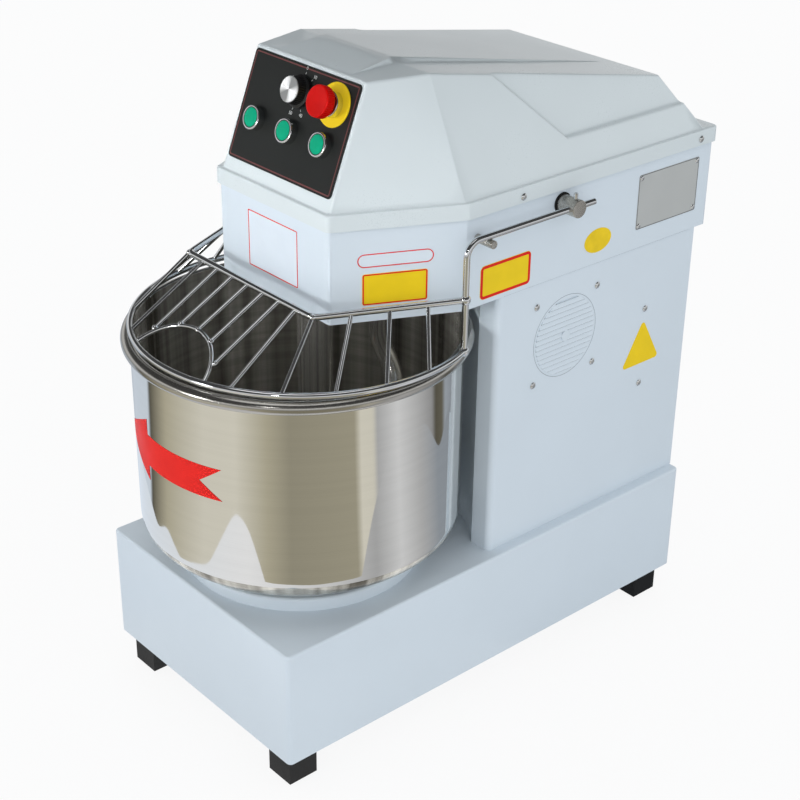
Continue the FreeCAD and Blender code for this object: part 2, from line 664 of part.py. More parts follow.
def dome_body(inset, narrowing):
    """The dome as a solid between its foot and roof corners, moved inwards by a wall thickness."""
    lean = inset * (1 - math.sin(FRONT_LEAN)) / math.cos(FRONT_LEAN)
    side = lean + narrowing
    foot_z = DOME_FOOT_Z - inset
    roof_z = DOME_FOOT_Z - inset
    nose_foot = V(DOME_FOOT_NOSE_WIDTH / 2 - lean, DOME_FOOT_FRONT_Y + lean, foot_z)
    shoulder_foot = V(DOME_FOOT_WIDTH / 2 - side, DOME_FOOT_SHOULDER_Y + lean, foot_z)
    rear_foot = V(DOME_FOOT_WIDTH / 2 - side, DOME_FOOT_REAR_Y - lean, foot_z)
    nose_top = V(DOME_TOP_NOSE_WIDTH / 2 - lean, DOME_TOP_FRONT_Y + lean, roof_z + DOME_HEIGHT)
    shoulder_top = V(DOME_TOP_SHOULDER_WIDTH / 2 - side, DOME_TOP_SHOULDER_Y, roof_z + DOME_HEIGHT)
    rear_top = V(DOME_TOP_REAR_WIDTH / 2 - side, DOME_TOP_REAR_Y - lean, roof_z + DOME_REAR_HEIGHT)
    right_foot = [nose_foot, shoulder_foot, rear_foot]
    right_top = [nose_top, shoulder_top, rear_top]
    left_foot = [mirrored(p) for p in right_foot]
    left_top = [mirrored(p) for p in right_top]
    faces = [
        flat_face(right_foot + left_foot[::-1]),
        flat_face([nose_foot, nose_top, left_top[0], left_foot[0]]),
        flat_face([nose_top, shoulder_top, left_top[1], left_top[0]]),
        flat_face([shoulder_top, rear_top, left_top[2], left_top[1]]),
        flat_face([rear_top, rear_foot, left_foot[2], left_top[2]]),
    ]
    for feet, tops in ((right_foot, right_top), (left_foot, left_top)):
        for first, second in ((0, 1), (1, 2)):
            faces.append(ruled_face((feet[first], feet[second]), (tops[first], tops[second])))
    shell = Part.makeShell(faces)
    shell.sewShape()
    solid = Part.makeSolid(shell)
    if solid.Volume < 0:
        solid.reverse()
    return solid


def recess_zone(growth):
    """Upright prism over the rear of the dome that bounds the inset panels on both sides."""
    low = DOME_FOOT_Z + RECESS_RISE - growth
    corner = RECESS_CORNER_Y - growth
    run = (RECESS_CORNER_Y - RECESS_TOP_Y) / (top_height(RECESS_TOP_Y) - RECESS_RISE)
    high = DOME_FOOT_Z + 2 * DOME_HEIGHT
    profile = [
        V(-HEAD_WIDTH, corner, low),
        V(-HEAD_WIDTH, corner - (high - low) * run, high),
        V(-HEAD_WIDTH, HEAD_REAR_Y + HEAD_HALF, high),
        V(-HEAD_WIDTH, HEAD_REAR_Y + HEAD_HALF, low),
    ]
    return flat_face(profile).extrude(X_AXIS * (2 * HEAD_WIDTH))


def dome(inset):
    """The dome with its inset side panels."""
    full = dome_body(inset, 0)
    slim = dome_body(inset, RECESS_DEPTH)
    pockets = full.cut(slim).common(recess_zone(inset))
    return full.cut(pockets)


def plateau_section(y, half_width, rise):
    """Cross-section of the roof's raised plateau: a flat top with bevelled sides."""
    roof = DOME_FOOT_Z + top_height(y)
    spread = PLATEAU_BEVEL * (rise + PLATEAU_ROOT) / (PLATEAU_RISE + PLATEAU_ROOT)
    points = [
        V(-half_width - spread, y, roof - PLATEAU_ROOT),
        V(half_width + spread, y, roof - PLATEAU_ROOT),
        V(half_width, y, roof + rise),
        V(-half_width, y, roof + rise),
    ]
    return Part.makePolygon(points + points[:1])


def roof_plateau():
    """Raised plateau along the roof, highest at its crease and fading to the front and rear."""
    half = PLATEAU_WIDTH / 2
    crease = plateau_section(PLATEAU_CREASE_Y, half, PLATEAU_RISE)
    front = plateau_section(DOME_TOP_FRONT_Y + PLATEAU_FRONT_INSET, half + PLATEAU_BEVEL, PLATEAU_EDGE)
    rear = plateau_section(PLATEAU_REAR_Y, half, PLATEAU_EDGE)
    forward = Part.makeLoft([front, crease], True, True)
    backward = Part.makeLoft([crease, rear], True, True)
    return forward.fuse(backward)


def control_places():
    """Panel places (x, height) of the three buttons and the emergency stop, which share one hole size."""
    buttons = [(step * CONTROL_PITCH, BUTTON_ROW) for step in (-1, 0, 1)]
    return buttons + [(CONTROL_PITCH, DIAL_ROW)]


def on_panel(x, height, out=0):
    """A point on the dome's front face, from panel coordinates and a distance outwards."""
    return PANEL_FOOT + X_AXIS * x + PANEL_UP * height + PANEL_OUT * out


def panel_holes():
    """Tools that pierce the panel and the dome's front wall for the controls."""
    depth = 4 * COVER_WALL
    holes = []
    for x, height in control_places():
        holes.append(cylinder(CONTROL_NECK_R + SEAT_FIT, on_panel(x, height, -depth), PANEL_OUT, 2 * depth))
    dial = on_panel(0, DIAL_ROW, -depth)
    holes.append(cylinder(KNOB_SHAFT_R + CLEARANCE, dial, PANEL_OUT, 2 * depth))
    return holes


def top_cover():
    """Moulded cover: a brim that drops round the casing, a ledge that seats on it, and a hollow dome."""
    brim_low = COVER_SEAT_Z - BRIM_DROP
    brim = head_prism(BRIM_OVERHANG, brim_low, DOME_FOOT_Z)
    brim = brim.makeFillet(HEAD_CORNER_R + BRIM_OVERHANG, upright_edges(brim))
    brim = brim.makeFillet(BRIM_EDGE_R, edges_at_height(brim, DOME_FOOT_Z))
    casing_space = head_prism(CLEARANCE, brim_low, COVER_SEAT_Z)
    casing_space = casing_space.makeFillet(HEAD_CORNER_R + CLEARANCE, upright_edges(casing_space))
    skin = dome(0)
    ridges = [e for e in skin.Edges if e.BoundBox.ZMax > DOME_FOOT_Z + COVER_WALL]
    skin = skin.makeFillet(COVER_EDGE_R, ridges)
    shell = brim.fuse(skin).fuse(roof_plateau()).removeSplitter()
    shell = shell.cut(casing_space).cut(dome(COVER_WALL))
    for hole in panel_holes():
        shell = shell.cut(hole)
    return shell


def control_panel():
    """Thin plate with rounded corners on the dome's front face, pierced for the controls."""
    half = PANEL_WIDTH / 2
    foot_corners = [on_panel(-half, 0), on_panel(half, 0)]
    top_corners = [on_panel(half, PANEL_HEIGHT), on_panel(-half, PANEL_HEIGHT)]
    corners = foot_corners + top_corners
    plate = flat_face(corners).extrude(PANEL_OUT * PANEL_THICKNESS)
    sides = [e for e in plate.Edges if e.Length < 2 * PANEL_THICKNESS]
    plate = plate.makeFillet(PANEL_CORNER_R, sides)
    for hole in panel_holes():
        plate = plate.cut(hole)
    return plate


def button_bezels():
    """Bright bezels of the three buttons: a bevelled ring outside and a hollow neck through the wall."""
    profile = [
        (CONTROL_STEM_R + RUNNING_FIT, -CONTROL_NECK_LENGTH),
        (CONTROL_NECK_R, -CONTROL_NECK_LENGTH),
        (CONTROL_NECK_R, PANEL_THICKNESS),
        (BEZEL_R, PANEL_THICKNESS),
        (BEZEL_R, PANEL_THICKNESS + BEZEL_HEIGHT - BEZEL_CHAMFER),
        (BEZEL_R - BEZEL_CHAMFER, PANEL_THICKNESS + BEZEL_HEIGHT),
        (CAP_R + RUNNING_FIT, PANEL_THICKNESS + BEZEL_HEIGHT),
        (CAP_R + RUNNING_FIT, PANEL_THICKNESS),
        (CONTROL_STEM_R + RUNNING_FIT, PANEL_THICKNESS),
    ]
    places = control_places()[:3]
    return Part.makeCompound([revolve(profile, on_panel(x, v), PANEL_OUT, X_AXIS) for x, v in places])


def control_nuts():
    """Ring nuts behind the wall that hold the buttons and the emergency stop."""
    nuts = []
    for x, height in control_places():
        start = on_panel(x, height, -COVER_WALL - NUT_HEIGHT)
        nuts.append(ring(NUT_R, CONTROL_NECK_R + SEAT_FIT, start, PANEL_OUT, NUT_HEIGHT))
    return Part.makeCompound(nuts)


def contact_blocks():
    """Switch blocks on the ends of the control necks."""
    half = CONTACT_BLOCK / 2
    blocks = []
    for x, height in control_places():
        corners = []
        for across, along in ((-1, -1), (1, -1), (1, 1), (-1, 1)):
            corners.append(on_panel(x + across * half, height + along * half, -CONTROL_NECK_LENGTH))
        blocks.append(flat_face(corners).extrude(PANEL_OUT * -CONTACT_BLOCK_DEPTH))
    return Part.makeCompound(blocks)


def button_cap(column):
    """Green push cap with its stem, sliding in its bezel."""
    top = PANEL_THICKNESS + BEZEL_HEIGHT + CAP_PROUD
    profile = [
        (0, BUTTON_TRAVEL + CLEARANCE - CONTROL_NECK_LENGTH),
        (CONTROL_STEM_R, BUTTON_TRAVEL + CLEARANCE - CONTROL_NECK_LENGTH),
        (CONTROL_STEM_R, top - CAP_HEIGHT),
        (CAP_R, top - CAP_HEIGHT),
        (CAP_R, top - CAP_PROUD),
        (CAP_R - CAP_PROUD, top),
        (0, top),
    ]
    return revolve(profile, on_panel(column * CONTROL_PITCH, BUTTON_ROW), PANEL_OUT, X_AXIS)


def stop_legend_disc():
    """Yellow disc round the emergency stop."""
    start = on_panel(CONTROL_PITCH, DIAL_ROW, PANEL_THICKNESS)
    return ring(LEGEND_R, CONTROL_NECK_R + SEAT_FIT, start, PANEL_OUT, LEGEND_THICKNESS)


def stop_collar():
    """Bright collar of the emergency stop with its hollow neck."""
    foot_height = PANEL_THICKNESS + LEGEND_THICKNESS
    profile = [
        (CONTROL_STEM_R + RUNNING_FIT, -CONTROL_NECK_LENGTH),
        (CONTROL_NECK_R, -CONTROL_NECK_LENGTH),
        (CONTROL_NECK_R, foot_height),
        (STOP_COLLAR_R, foot_height),
        (STOP_COLLAR_R, foot_height + STOP_COLLAR_HEIGHT - BEZEL_CHAMFER),
        (STOP_COLLAR_R - BEZEL_CHAMFER, foot_height + STOP_COLLAR_HEIGHT),
        (CONTROL_STEM_R + RUNNING_FIT, foot_height + STOP_COLLAR_HEIGHT),
    ]
    return revolve(profile, on_panel(CONTROL_PITCH, DIAL_ROW), PANEL_OUT, X_AXIS)


def stop_head_foot():
    """Height of the mushroom head's underside over the dome's face."""
    return PANEL_THICKNESS + LEGEND_THICKNESS + STOP_COLLAR_HEIGHT + STOP_TRAVEL + CLEARANCE


def stop_stem():
    """Plunger of the emergency stop."""
    low = STOP_TRAVEL + CLEARANCE - CONTROL_NECK_LENGTH
    high = stop_head_foot() + STOP_HEAD_HEIGHT - STOP_HEAD_CAP - SEAT_FIT
    start = on_panel(CONTROL_PITCH, DIAL_ROW, low)
    return cylinder(CONTROL_STEM_R, start, PANEL_OUT, high - low)


def stop_mushroom():
    """Red mushroom head with a rounded edge, turning on the plunger."""
    low = stop_head_foot()
    high = low + STOP_HEAD_HEIGHT
    bore_end = high - STOP_HEAD_CAP
    profile = [
        (CONTROL_STEM_R + RUNNING_FIT, low),
        (STOP_HEAD_R - STOP_HEAD_EDGE_R, low),
        (STOP_HEAD_R, low + STOP_HEAD_EDGE_R),
        (STOP_HEAD_R, high - STOP_HEAD_EDGE_R),
        (STOP_HEAD_R - STOP_HEAD_EDGE_R, high),
        (0, high),
        (0, bore_end),
        (CONTROL_STEM_R + RUNNING_FIT, bore_end),
    ]
    return revolve(profile, on_panel(CONTROL_PITCH, DIAL_ROW), PANEL_OUT, X_AXIS)


def timer_knob():
    """Black timer knob with a skirt, a tapered grip and a shaft into the timer unit."""
    low = PANEL_THICKNESS + CLEARANCE
    shaft_end = -COVER_WALL - TIMER_DEPTH / 2
    profile = [
        (0, shaft_end),
        (KNOB_SHAFT_R, shaft_end),
        (KNOB_SHAFT_R, low),
        (KNOB_SKIRT_R, low),
        (KNOB_SKIRT_R, low + KNOB_SKIRT_HEIGHT),
        (KNOB_GRIP_R + BEZEL_CHAMFER, low + KNOB_SKIRT_HEIGHT + BEZEL_CHAMFER),
        (KNOB_GRIP_R, KNOB_HEIGHT),
        (0, KNOB_HEIGHT),
    ]
    return revolve(profile, on_panel(0, DIAL_ROW), PANEL_OUT, X_AXIS)


def timer_knob_face():
    """Bright turned disc on the knob's end."""
    profile = [
        (0, KNOB_HEIGHT),
        (KNOB_FACE_R, KNOB_HEIGHT),
        (KNOB_FACE_R, KNOB_HEIGHT + KNOB_FACE_HEIGHT / 2),
        (KNOB_FACE_R - KNOB_FACE_HEIGHT / 2, KNOB_HEIGHT + KNOB_FACE_HEIGHT),
        (0, KNOB_HEIGHT + KNOB_FACE_HEIGHT),
    ]
    return revolve(profile, on_panel(0, DIAL_ROW), PANEL_OUT, X_AXIS)


def timer_unit():
    """Square timer behind the panel, bored for the knob's shaft."""
    half = TIMER_SIZE / 2
    corners = []
    for across, along in ((-1, -1), (1, -1), (1, 1), (-1, 1)):
        corners.append(on_panel(across * half, DIAL_ROW + along * half, -COVER_WALL))
    block = flat_face(corners).extrude(PANEL_OUT * -TIMER_DEPTH)
    bore_start = on_panel(0, DIAL_ROW, -COVER_WALL - TIMER_DEPTH / 2 - CLEARANCE)
    return block.cut(cylinder(KNOB_SHAFT_R + RUNNING_FIT, bore_start, PANEL_OUT, TIMER_DEPTH))


def bowl():
    """Stainless bowl: flat floor, rounded lower corner, straight wall and a rolled rim bead."""
    centre = V(0, BOWL_AXIS_Y, 0)
    wall_top = BOWL_BEAD_Z
    outer_corner = V(BOWL_WALL_R - BOWL_CORNER_R, BOWL_AXIS_Y, BOWL_FLOOR_Z + BOWL_CORNER_R)
    inner_r = BOWL_CORNER_R - BOWL_WALL
    slope = V(math.sqrt(0.5), 0, -math.sqrt(0.5))

    def at(radius, height):
        return V(radius, BOWL_AXIS_Y, height)

    edges = [
        Part.LineSegment(at(0, BOWL_FLOOR_Z), at(outer_corner.x, BOWL_FLOOR_Z)),
        Part.Arc(
            at(outer_corner.x, BOWL_FLOOR_Z),
            outer_corner + slope * BOWL_CORNER_R,
            at(BOWL_WALL_R, outer_corner.z),
        ),
        Part.LineSegment(at(BOWL_WALL_R, outer_corner.z), at(BOWL_WALL_R, wall_top)),
        Part.LineSegment(at(BOWL_WALL_R, wall_top), at(BOWL_WALL_R - BOWL_WALL, wall_top)),
        Part.LineSegment(at(BOWL_WALL_R - BOWL_WALL, wall_top), at(BOWL_WALL_R - BOWL_WALL, outer_corner.z)),
        Part.Arc(
            at(BOWL_WALL_R - BOWL_WALL, outer_corner.z),
            outer_corner + slope * inner_r,
            at(outer_corner.x, BOWL_INNER_FLOOR_Z),
        ),
        Part.LineSegment(at(outer_corner.x, BOWL_INNER_FLOOR_Z), at(0, BOWL_INNER_FLOOR_Z)),
        Part.LineSegment(at(0, BOWL_INNER_FLOOR_Z), at(0, BOWL_FLOOR_Z)),
    ]
    skin = Part.Face(Part.Wire([e.toShape() for e in edges])).revolve(centre, Z_AXIS, 360)
    bead = Part.makeTorus(BOWL_RIM_R - BOWL_BEAD_R, BOWL_BEAD_R, V(0, BOWL_AXIS_Y, BOWL_BEAD_Z))
    return skin.fuse(bead).removeSplitter()


def bowl_shaft():
    """Bowl spindle with the flange that carries the bowl."""
    flange_z = BOWL_FLOOR_Z - BOWL_FLANGE_HEIGHT
    low = BOWL_BELT_Z - PULLEY_WIDTH / 2 - SHAFT_END_GAP
    shaft = cylinder(BOWL_SHAFT_R, V(0, BOWL_AXIS_Y, low), Z_AXIS, flange_z - low)
    flange = cylinder(BOWL_FLANGE_R, V(0, BOWL_AXIS_Y, flange_z), Z_AXIS, BOWL_FLANGE_HEIGHT)
    return shaft.fuse(flange)


def bowl_bearing_housing():
    """Flanged bearing tube that hangs through the base's top."""
    centre = V(0, BOWL_AXIS_Y, BOWL_HOUSING_BOTTOM_Z)
    length = BOWL_HOUSING_DROP + BOWL_HOUSING_FLANGE_HEIGHT
    tube = cylinder(BOWL_HOUSING_R, centre, Z_AXIS, length)
    seat = V(0, BOWL_AXIS_Y, BASE_TOP_Z)
    flange = cylinder(BOWL_HOUSING_FLANGE_R, seat, Z_AXIS, BOWL_HOUSING_FLANGE_HEIGHT)
    bore = cylinder(BOWL_BEARING_R, centre, Z_AXIS, length)
    return tube.fuse(flange).cut(bore)


def bearing_pair(axis_y, outer, inner, width, low, high):
    """Two bearing rings on one upright axis, at the ends of their housing."""
    rings = []
    for start in (low, high - width):
        place = V(0, axis_y, start)
        rings.append(ring(outer - SEAT_FIT, inner + RUNNING_FIT, place, Z_AXIS, width))
    return Part.makeCompound(rings)


def pulley(groove_r, shaft_r, x, y, z):
    """Belt pulley with two lips, a web and a hub, centred on a belt level."""
    lip_r = groove_r + PULLEY_LIP
    low = z - PULLEY_WIDTH / 2
    axis = V(x, y, low)
    body = cylinder(lip_r, axis, Z_AXIS, PULLEY_WIDTH)
    groove = ring(lip_r, groove_r, axis + Z_AXIS * PULLEY_RIM, Z_AXIS, PULLEY_FACE)
    body = body.cut(groove)
    if groove_r > PULLEY_SOLID_R:
        hub_r = shaft_r + PULLEY_HUB_WALL
        rim_r = groove_r - PULLEY_WEB
        relief = (PULLEY_WIDTH - PULLEY_WEB) / 2
        for start in (axis, axis + Z_AXIS * (PULLEY_WIDTH - relief)):
            body = body.cut(ring(rim_r, hub_r, start, Z_AXIS, relief))
    return body.cut(cylinder(shaft_r + SEAT_FIT, axis, Z_AXIS, PULLEY_WIDTH))


def belt(first, first_r, second, second_r, z):
    """Flat loop of a belt round two pulleys, with a small gap to their grooves."""
    gap = CLEARANCE
    loops = []
    for grow in (gap, gap + BELT_THICKNESS):
        loops.append(belt_outline(first, first_r + grow, second, second_r + grow))
    width = PULLEY_FACE - 2 * BELT_SIDE_GAP
    solid = loops[1].cut(loops[0]).extrude(Z_AXIS * width)
    solid.translate(V(0, 0, z - width / 2))
    return solid


def belt_outline(first, first_r, second, second_r):
    """Face inside the outer tangents of two circles."""
    along = second - first
    heading = math.atan2(along.y, along.x)
    spread = math.acos((first_r - second_r) / along.Length)

    def at(centre, radius, angle):
        return centre + V(math.cos(angle), math.sin(angle), 0) * radius

    upper, lower = heading + spread, heading - spread
    edges = [
        Part.LineSegment(at(first, first_r, upper), at(second, second_r, upper)),
        Part.Arc(at(second, second_r, upper), at(second, second_r, heading), at(second, second_r, lower)),
        Part.LineSegment(at(second, second_r, lower), at(first, first_r, lower)),
        Part.Arc(at(first, first_r, lower), at(first, first_r, heading + math.pi), at(first, first_r, upper)),
    ]
    return Part.Face(Part.Wire([e.toShape() for e in edges]))


BOWL_AXIS = V(0, BOWL_AXIS_Y, 0)
HOOK_AXIS = V(0, HOOK_AXIS_Y, 0)
TRANSMISSION_AXIS = V(0, TRANSMISSION_Y, 0)
COUNTERSHAFT_AXIS = V(COUNTERSHAFT_X, COUNTERSHAFT_Y, 0)
MOTOR_AXIS = V(0, MOTOR_Y, 0)


def hook_point(share):
    """Centre of the spiral rod: it leaves the shaft's axis, winds round it and sinks to the bowl's floor."""
    top = HOOK_JOINT_Z - HOOK_FLANGE_HEIGHT - HOOK_STRAIGHT
    low = BOWL_INNER_FLOOR_Z + HOOK_FLOOR_GAP + HOOK_ROD_R
    spread = min(1, share / HOOK_SPREAD)
    radius = (HOOK_SWEEP_R - HOOK_ROD_R) * spread * spread * (3 - 2 * spread)
    angle = math.radians(HOOK_START_DEG + HOOK_TURN_DEG * share)
    level = top - (top - low) * math.sin(share * math.pi / 2)
    return V(radius * math.cos(angle), HOOK_AXIS_Y + radius * math.sin(angle), level)


def hook_heading(share):
    """Direction of the spiral rod, straight down where it leaves the shaft."""
    if share == 0:
        return DOWN
    step = 1 / (100 * HOOK_SPANS)
    return (hook_point(min(1, share + step)) - hook_point(share - step)).normalize()


def arc_edge(start, apex, end):
    """Arc from start to end that is tangent to the lines towards the apex."""
    half_turn = (apex - start).getAngle(end - apex) / 2
    reach = (apex - start).Length
    radius = reach / math.tan(half_turn)
    inward = ((start + end) * 0.5 - apex).normalize()
    middle = apex + inward * (radius / math.cos(half_turn) - radius)
    return Part.Arc(start, middle, end).toShape()


def biarc(start, heading, end, final):
    """Two arcs that join two points and keep both directions."""
    chord = end - start
    both = heading + final
    a = 2 * (heading.dot(final) - 1)
    b = -2 * chord.dot(both)
    c = chord.dot(chord)
    reach = (-b - math.sqrt(b * b - 4 * a * c)) / (2 * a)
    first_apex = start + heading * reach
    second_apex = end - final * reach
    joint = (first_apex + second_apex) * 0.5
    return [arc_edge(start, first_apex, joint), arc_edge(joint, second_apex, end)]


def spiral_hook():
    """Spiral hook: a bolted flange, a straight shank and a round bar that winds down to the bowl's floor."""
    flange_z = HOOK_JOINT_Z - HOOK_FLANGE_HEIGHT
    flange = cylinder(HOOK_FLANGE_R, V(0, HOOK_AXIS_Y, flange_z), Z_AXIS, HOOK_FLANGE_HEIGHT)
    shank = cylinder(HOOK_ROD_R, V(0, HOOK_AXIS_Y, flange_z), DOWN, HOOK_STRAIGHT)
    edges = []
    for span in range(HOOK_SPANS):
        first, last = span / HOOK_SPANS, (span + 1) / HOOK_SPANS
        edges += biarc(hook_point(first), hook_heading(first), hook_point(last), hook_heading(last))
    bar = rod_along(Part.Wire(edges), HOOK_ROD_R)
    toe = Part.makeSphere(HOOK_ROD_R, hook_point(1))
    return flange.fuse(shank).fuse(bar).fuse(toe)


def hook_shaft():
    """Upright hook shaft with the flange that carries the hook."""
    flange = cylinder(HOOK_FLANGE_R, V(0, HOOK_AXIS_Y, HOOK_JOINT_Z), Z_AXIS, HOOK_FLANGE_HEIGHT)
    top = HOOK_BELT_Z + PULLEY_WIDTH / 2 + SHAFT_END_GAP
    shaft = cylinder(HOOK_SHAFT_R, V(0, HOOK_AXIS_Y, HOOK_JOINT_Z), Z_AXIS, top - HOOK_JOINT_Z)
    return shaft.fuse(flange)


def hook_bearing_housing():
    """Flanged bearing tube through the head's floor."""
    centre = V(0, HOOK_AXIS_Y, HOOK_HOUSING_BOTTOM_Z)
    tube = cylinder(HOOK_HOUSING_R, centre, Z_AXIS, HOOK_HOUSING_HEIGHT)
    flange = cylinder(
        HOOK_HOUSING_FLANGE_R,
        V(0, HOOK_AXIS_Y, HEAD_DECK_Z),
        Z_AXIS,
        HOOK_HOUSING_FLANGE_HEIGHT,
    )
    return tube.fuse(flange).cut(cylinder(HOOK_BEARING_R, centre, Z_AXIS, HOOK_HOUSING_HEIGHT))


def breaker_bar():
    """Upright breaker bar under the head, flanged at the top and rounded at the toe."""
    low = BOWL_INNER_FLOOR_Z + BAR_FLOOR_GAP
    bar = cylinder(BAR_R, V(0, BAR_AXIS_Y, low), Z_AXIS, HEAD_FLOOR_Z - low)
    bar = bar.makeFillet(BAR_TOE_R, edges_at_height(bar, low))
    flange_z = HEAD_FLOOR_Z - BAR_FLANGE_HEIGHT
    return bar.fuse(cylinder(BAR_FLANGE_R, V(0, BAR_AXIS_Y, flange_z), Z_AXIS, BAR_FLANGE_HEIGHT))


def upright_shaft(axis, radius, low, high):
    """A plain upright shaft."""
    return cylinder(radius, axis + Z_AXIS * low, Z_AXIS, high - low)


def bearing_unit(axis, shaft_r, seat_z, upward):
    """Square flanged bearing unit that sits on, or hangs from, a plate."""
    half = BEARING_UNIT_SIZE / 2
    heading = Z_AXIS * upward
    corners = [axis + V(x * half, y * half, seat_z) for x, y in ((-1, -1), (1, -1), (1, 1), (-1, 1))]
    flange = flat_face(corners).extrude(heading * BEARING_UNIT_FLANGE)
    start = axis + Z_AXIS * seat_z
    body = cylinder(BEARING_UNIT_R, start, heading, BEARING_UNIT_HEIGHT)
    bore = cylinder(shaft_r + RUNNING_FIT, start, heading, BEARING_UNIT_HEIGHT)
    return flange.fuse(body).cut(bore)


def motor_housing():
    """Finned motor body with end shields, hung by its flange under the mount plate."""
    top = MOTOR_PLATE_Z
    low = top - MOTOR_LENGTH
    axis = MOTOR_AXIS + Z_AXIS * low
    body = cylinder(MOTOR_R, axis, Z_AXIS, MOTOR_LENGTH)
    flange_z = top - MOTOR_FLANGE_HEIGHT
    fins = []
    half = MOTOR_FIN_THICKNESS / 2
    fin_top = flange_z - MOTOR_END_SHIELD
    for step in range(MOTOR_FIN_COUNT):
        fin_end = MOTOR_R + MOTOR_FIN_HEIGHT
        fin = box(0, fin_end, MOTOR_Y - half, MOTOR_Y + half, low + MOTOR_END_SHIELD, fin_top)
        fin.rotate(MOTOR_AXIS, Z_AXIS, 360 * step / MOTOR_FIN_COUNT)
        fins.append(fin)
    flange = cylinder(MOTOR_FLANGE_R, MOTOR_AXIS + Z_AXIS * flange_z, Z_AXIS, MOTOR_FLANGE_HEIGHT)
    cavity = cylinder(
        MOTOR_BORE_R,
        axis + Z_AXIS * MOTOR_END_SHIELD,
        Z_AXIS,
        MOTOR_LENGTH - 2 * MOTOR_END_SHIELD,
    )
    bore = cylinder(MOTOR_SHAFT_R + RUNNING_FIT, axis, Z_AXIS, MOTOR_LENGTH)
    return body.fuse(fins).fuse(flange).cut(cavity).cut(bore)


def motor_rotor():
    """Rotor core on its shaft, which rises to the motor pulley."""
    low = MOTOR_PLATE_Z - MOTOR_LENGTH
    top = MOTOR_BELT_Z + PULLEY_WIDTH / 2 + SHAFT_END_GAP
    shaft = upright_shaft(MOTOR_AXIS, MOTOR_SHAFT_R, low, top)
    core_low = low + MOTOR_END_SHIELD + MOTOR_CORE_GAP
    core_top = MOTOR_PLATE_Z - MOTOR_END_SHIELD - MOTOR_CORE_GAP
    core = upright_shaft(MOTOR_AXIS, MOTOR_BORE_R - MOTOR_AIR_GAP, core_low, core_top)
    return shaft.fuse(core)


def motor_mount_plate():
    """Plate across the column that carries the motor, with the shaft's hole."""
    half = MOTOR_PLATE_DEPTH / 2
    plate = box(
        -COLUMN_INNER_X,
        COLUMN_INNER_X,
        MOTOR_Y - half,
        MOTOR_Y + half,
        MOTOR_PLATE_Z,
        MOTOR_PLATE_Z + 2 * PLATE,
    )
    return plate.cut(upright_shaft(MOTOR_AXIS, 2 * MOTOR_SHAFT_R, MOTOR_PLATE_Z, HEAD_FLOOR_Z))


def speed_inverter():
    """Inverter box with heat-sink fins, screwed inside the right wall."""
    wall = COLUMN_INNER_X
    half_y = INVERTER_WIDTH / 2
    half_z = INVERTER_HEIGHT / 2
    body = box(
        wall - INVERTER_DEPTH,
        wall,
        INVERTER_Y - half_y,
        INVERTER_Y + half_y,
        INVERTER_Z - half_z,
        INVERTER_Z + half_z,
    )
    pitch = INVERTER_WIDTH / (2 * INVERTER_FINS + 1)
    slots = []
    for step in range(INVERTER_FINS):
        start = INVERTER_Y - half_y + pitch * (2 * step + 1)
        slots.append(
            box(
                wall - INVERTER_DEPTH,
                wall - INVERTER_DEPTH + INVERTER_FIN_DEPTH,
                start,
                start + pitch,
                INVERTER_Z - half_z,
                INVERTER_Z + half_z,
            )
        )
    return body.cut(slots)


def fan_frame():
    """Square fan frame with a round duct, and struts that hold the rotor's pin."""
    wall = COLUMN_INNER_X
    half = FAN_SIZE / 2
    back = wall - FAN_DEPTH
    frame = box(back, wall, FAN_Y - half, FAN_Y + half, FAN_Z - half, FAN_Z + half)
    corners = [e for e in frame.Edges if abs(e.BoundBox.XLength - FAN_DEPTH) < SEAT_FIT]
    frame = frame.makeFillet(FAN_CORNER_R, corners)
    centre = V(back, FAN_Y, FAN_Z)
    duct = cylinder(FAN_DUCT_R, centre, X_AXIS, FAN_DEPTH)
    motor = cylinder(FAN_HUB_R, centre, X_AXIS, FAN_STRUT)
    pin = cylinder(FAN_PIN_R, centre, X_AXIS, FAN_DEPTH - FAN_BLADE_GAP - FAN_STRUT)
    struts = []
    for step in range(FAN_STRUT_COUNT):
        strut = box(back, back + FAN_STRUT, FAN_Y - FAN_STRUT / 2, FAN_Y + FAN_STRUT / 2, FAN_Z, FAN_Z + half)
        strut.rotate(centre, X_AXIS, 360 * step / FAN_STRUT_COUNT)
        struts.append(strut)
    return frame.cut(duct).fuse(struts).fuse(motor).fuse(pin)


def fan_rotor():
    """Fan rotor: a hub on the frame's pin and pitched blades."""
    back = COLUMN_INNER_X - FAN_DEPTH + FAN_STRUT + CLEARANCE
    front = COLUMN_INNER_X - FAN_BLADE_GAP
    centre = V(back, FAN_Y, FAN_Z)
    hub = cylinder(FAN_HUB_R, centre, X_AXIS, front - back)
    half = FAN_BLADE_DEPTH / 2
    thick = FAN_BLADE_THICKNESS / 2
    middle = V((back + front) / 2, FAN_Y, FAN_Z)
    reach = FAN_DUCT_R - FAN_BLADE_GAP
    blades = []
    for step in range(FAN_BLADES):
        tip = FAN_Z + reach - thick
        blade = box(middle.x - thick, middle.x + thick, FAN_Y - half, FAN_Y + half, FAN_Z, tip)
        blade.rotate(middle, Z_AXIS, 90 - FAN_BLADE_PITCH_DEG)
        blade.rotate(middle, X_AXIS, 360 * step / FAN_BLADES)
        blades.append(blade)
    pin_hole = cylinder(
        FAN_PIN_R + RUNNING_FIT,
        centre,
        X_AXIS,
        FAN_DEPTH - FAN_STRUT - FAN_BLADE_GAP - FAN_STRUT,
    )
    sweep = cylinder(reach, centre, X_AXIS, front - back)
    return hub.fuse(blades).common(sweep).cut(pin_hole)


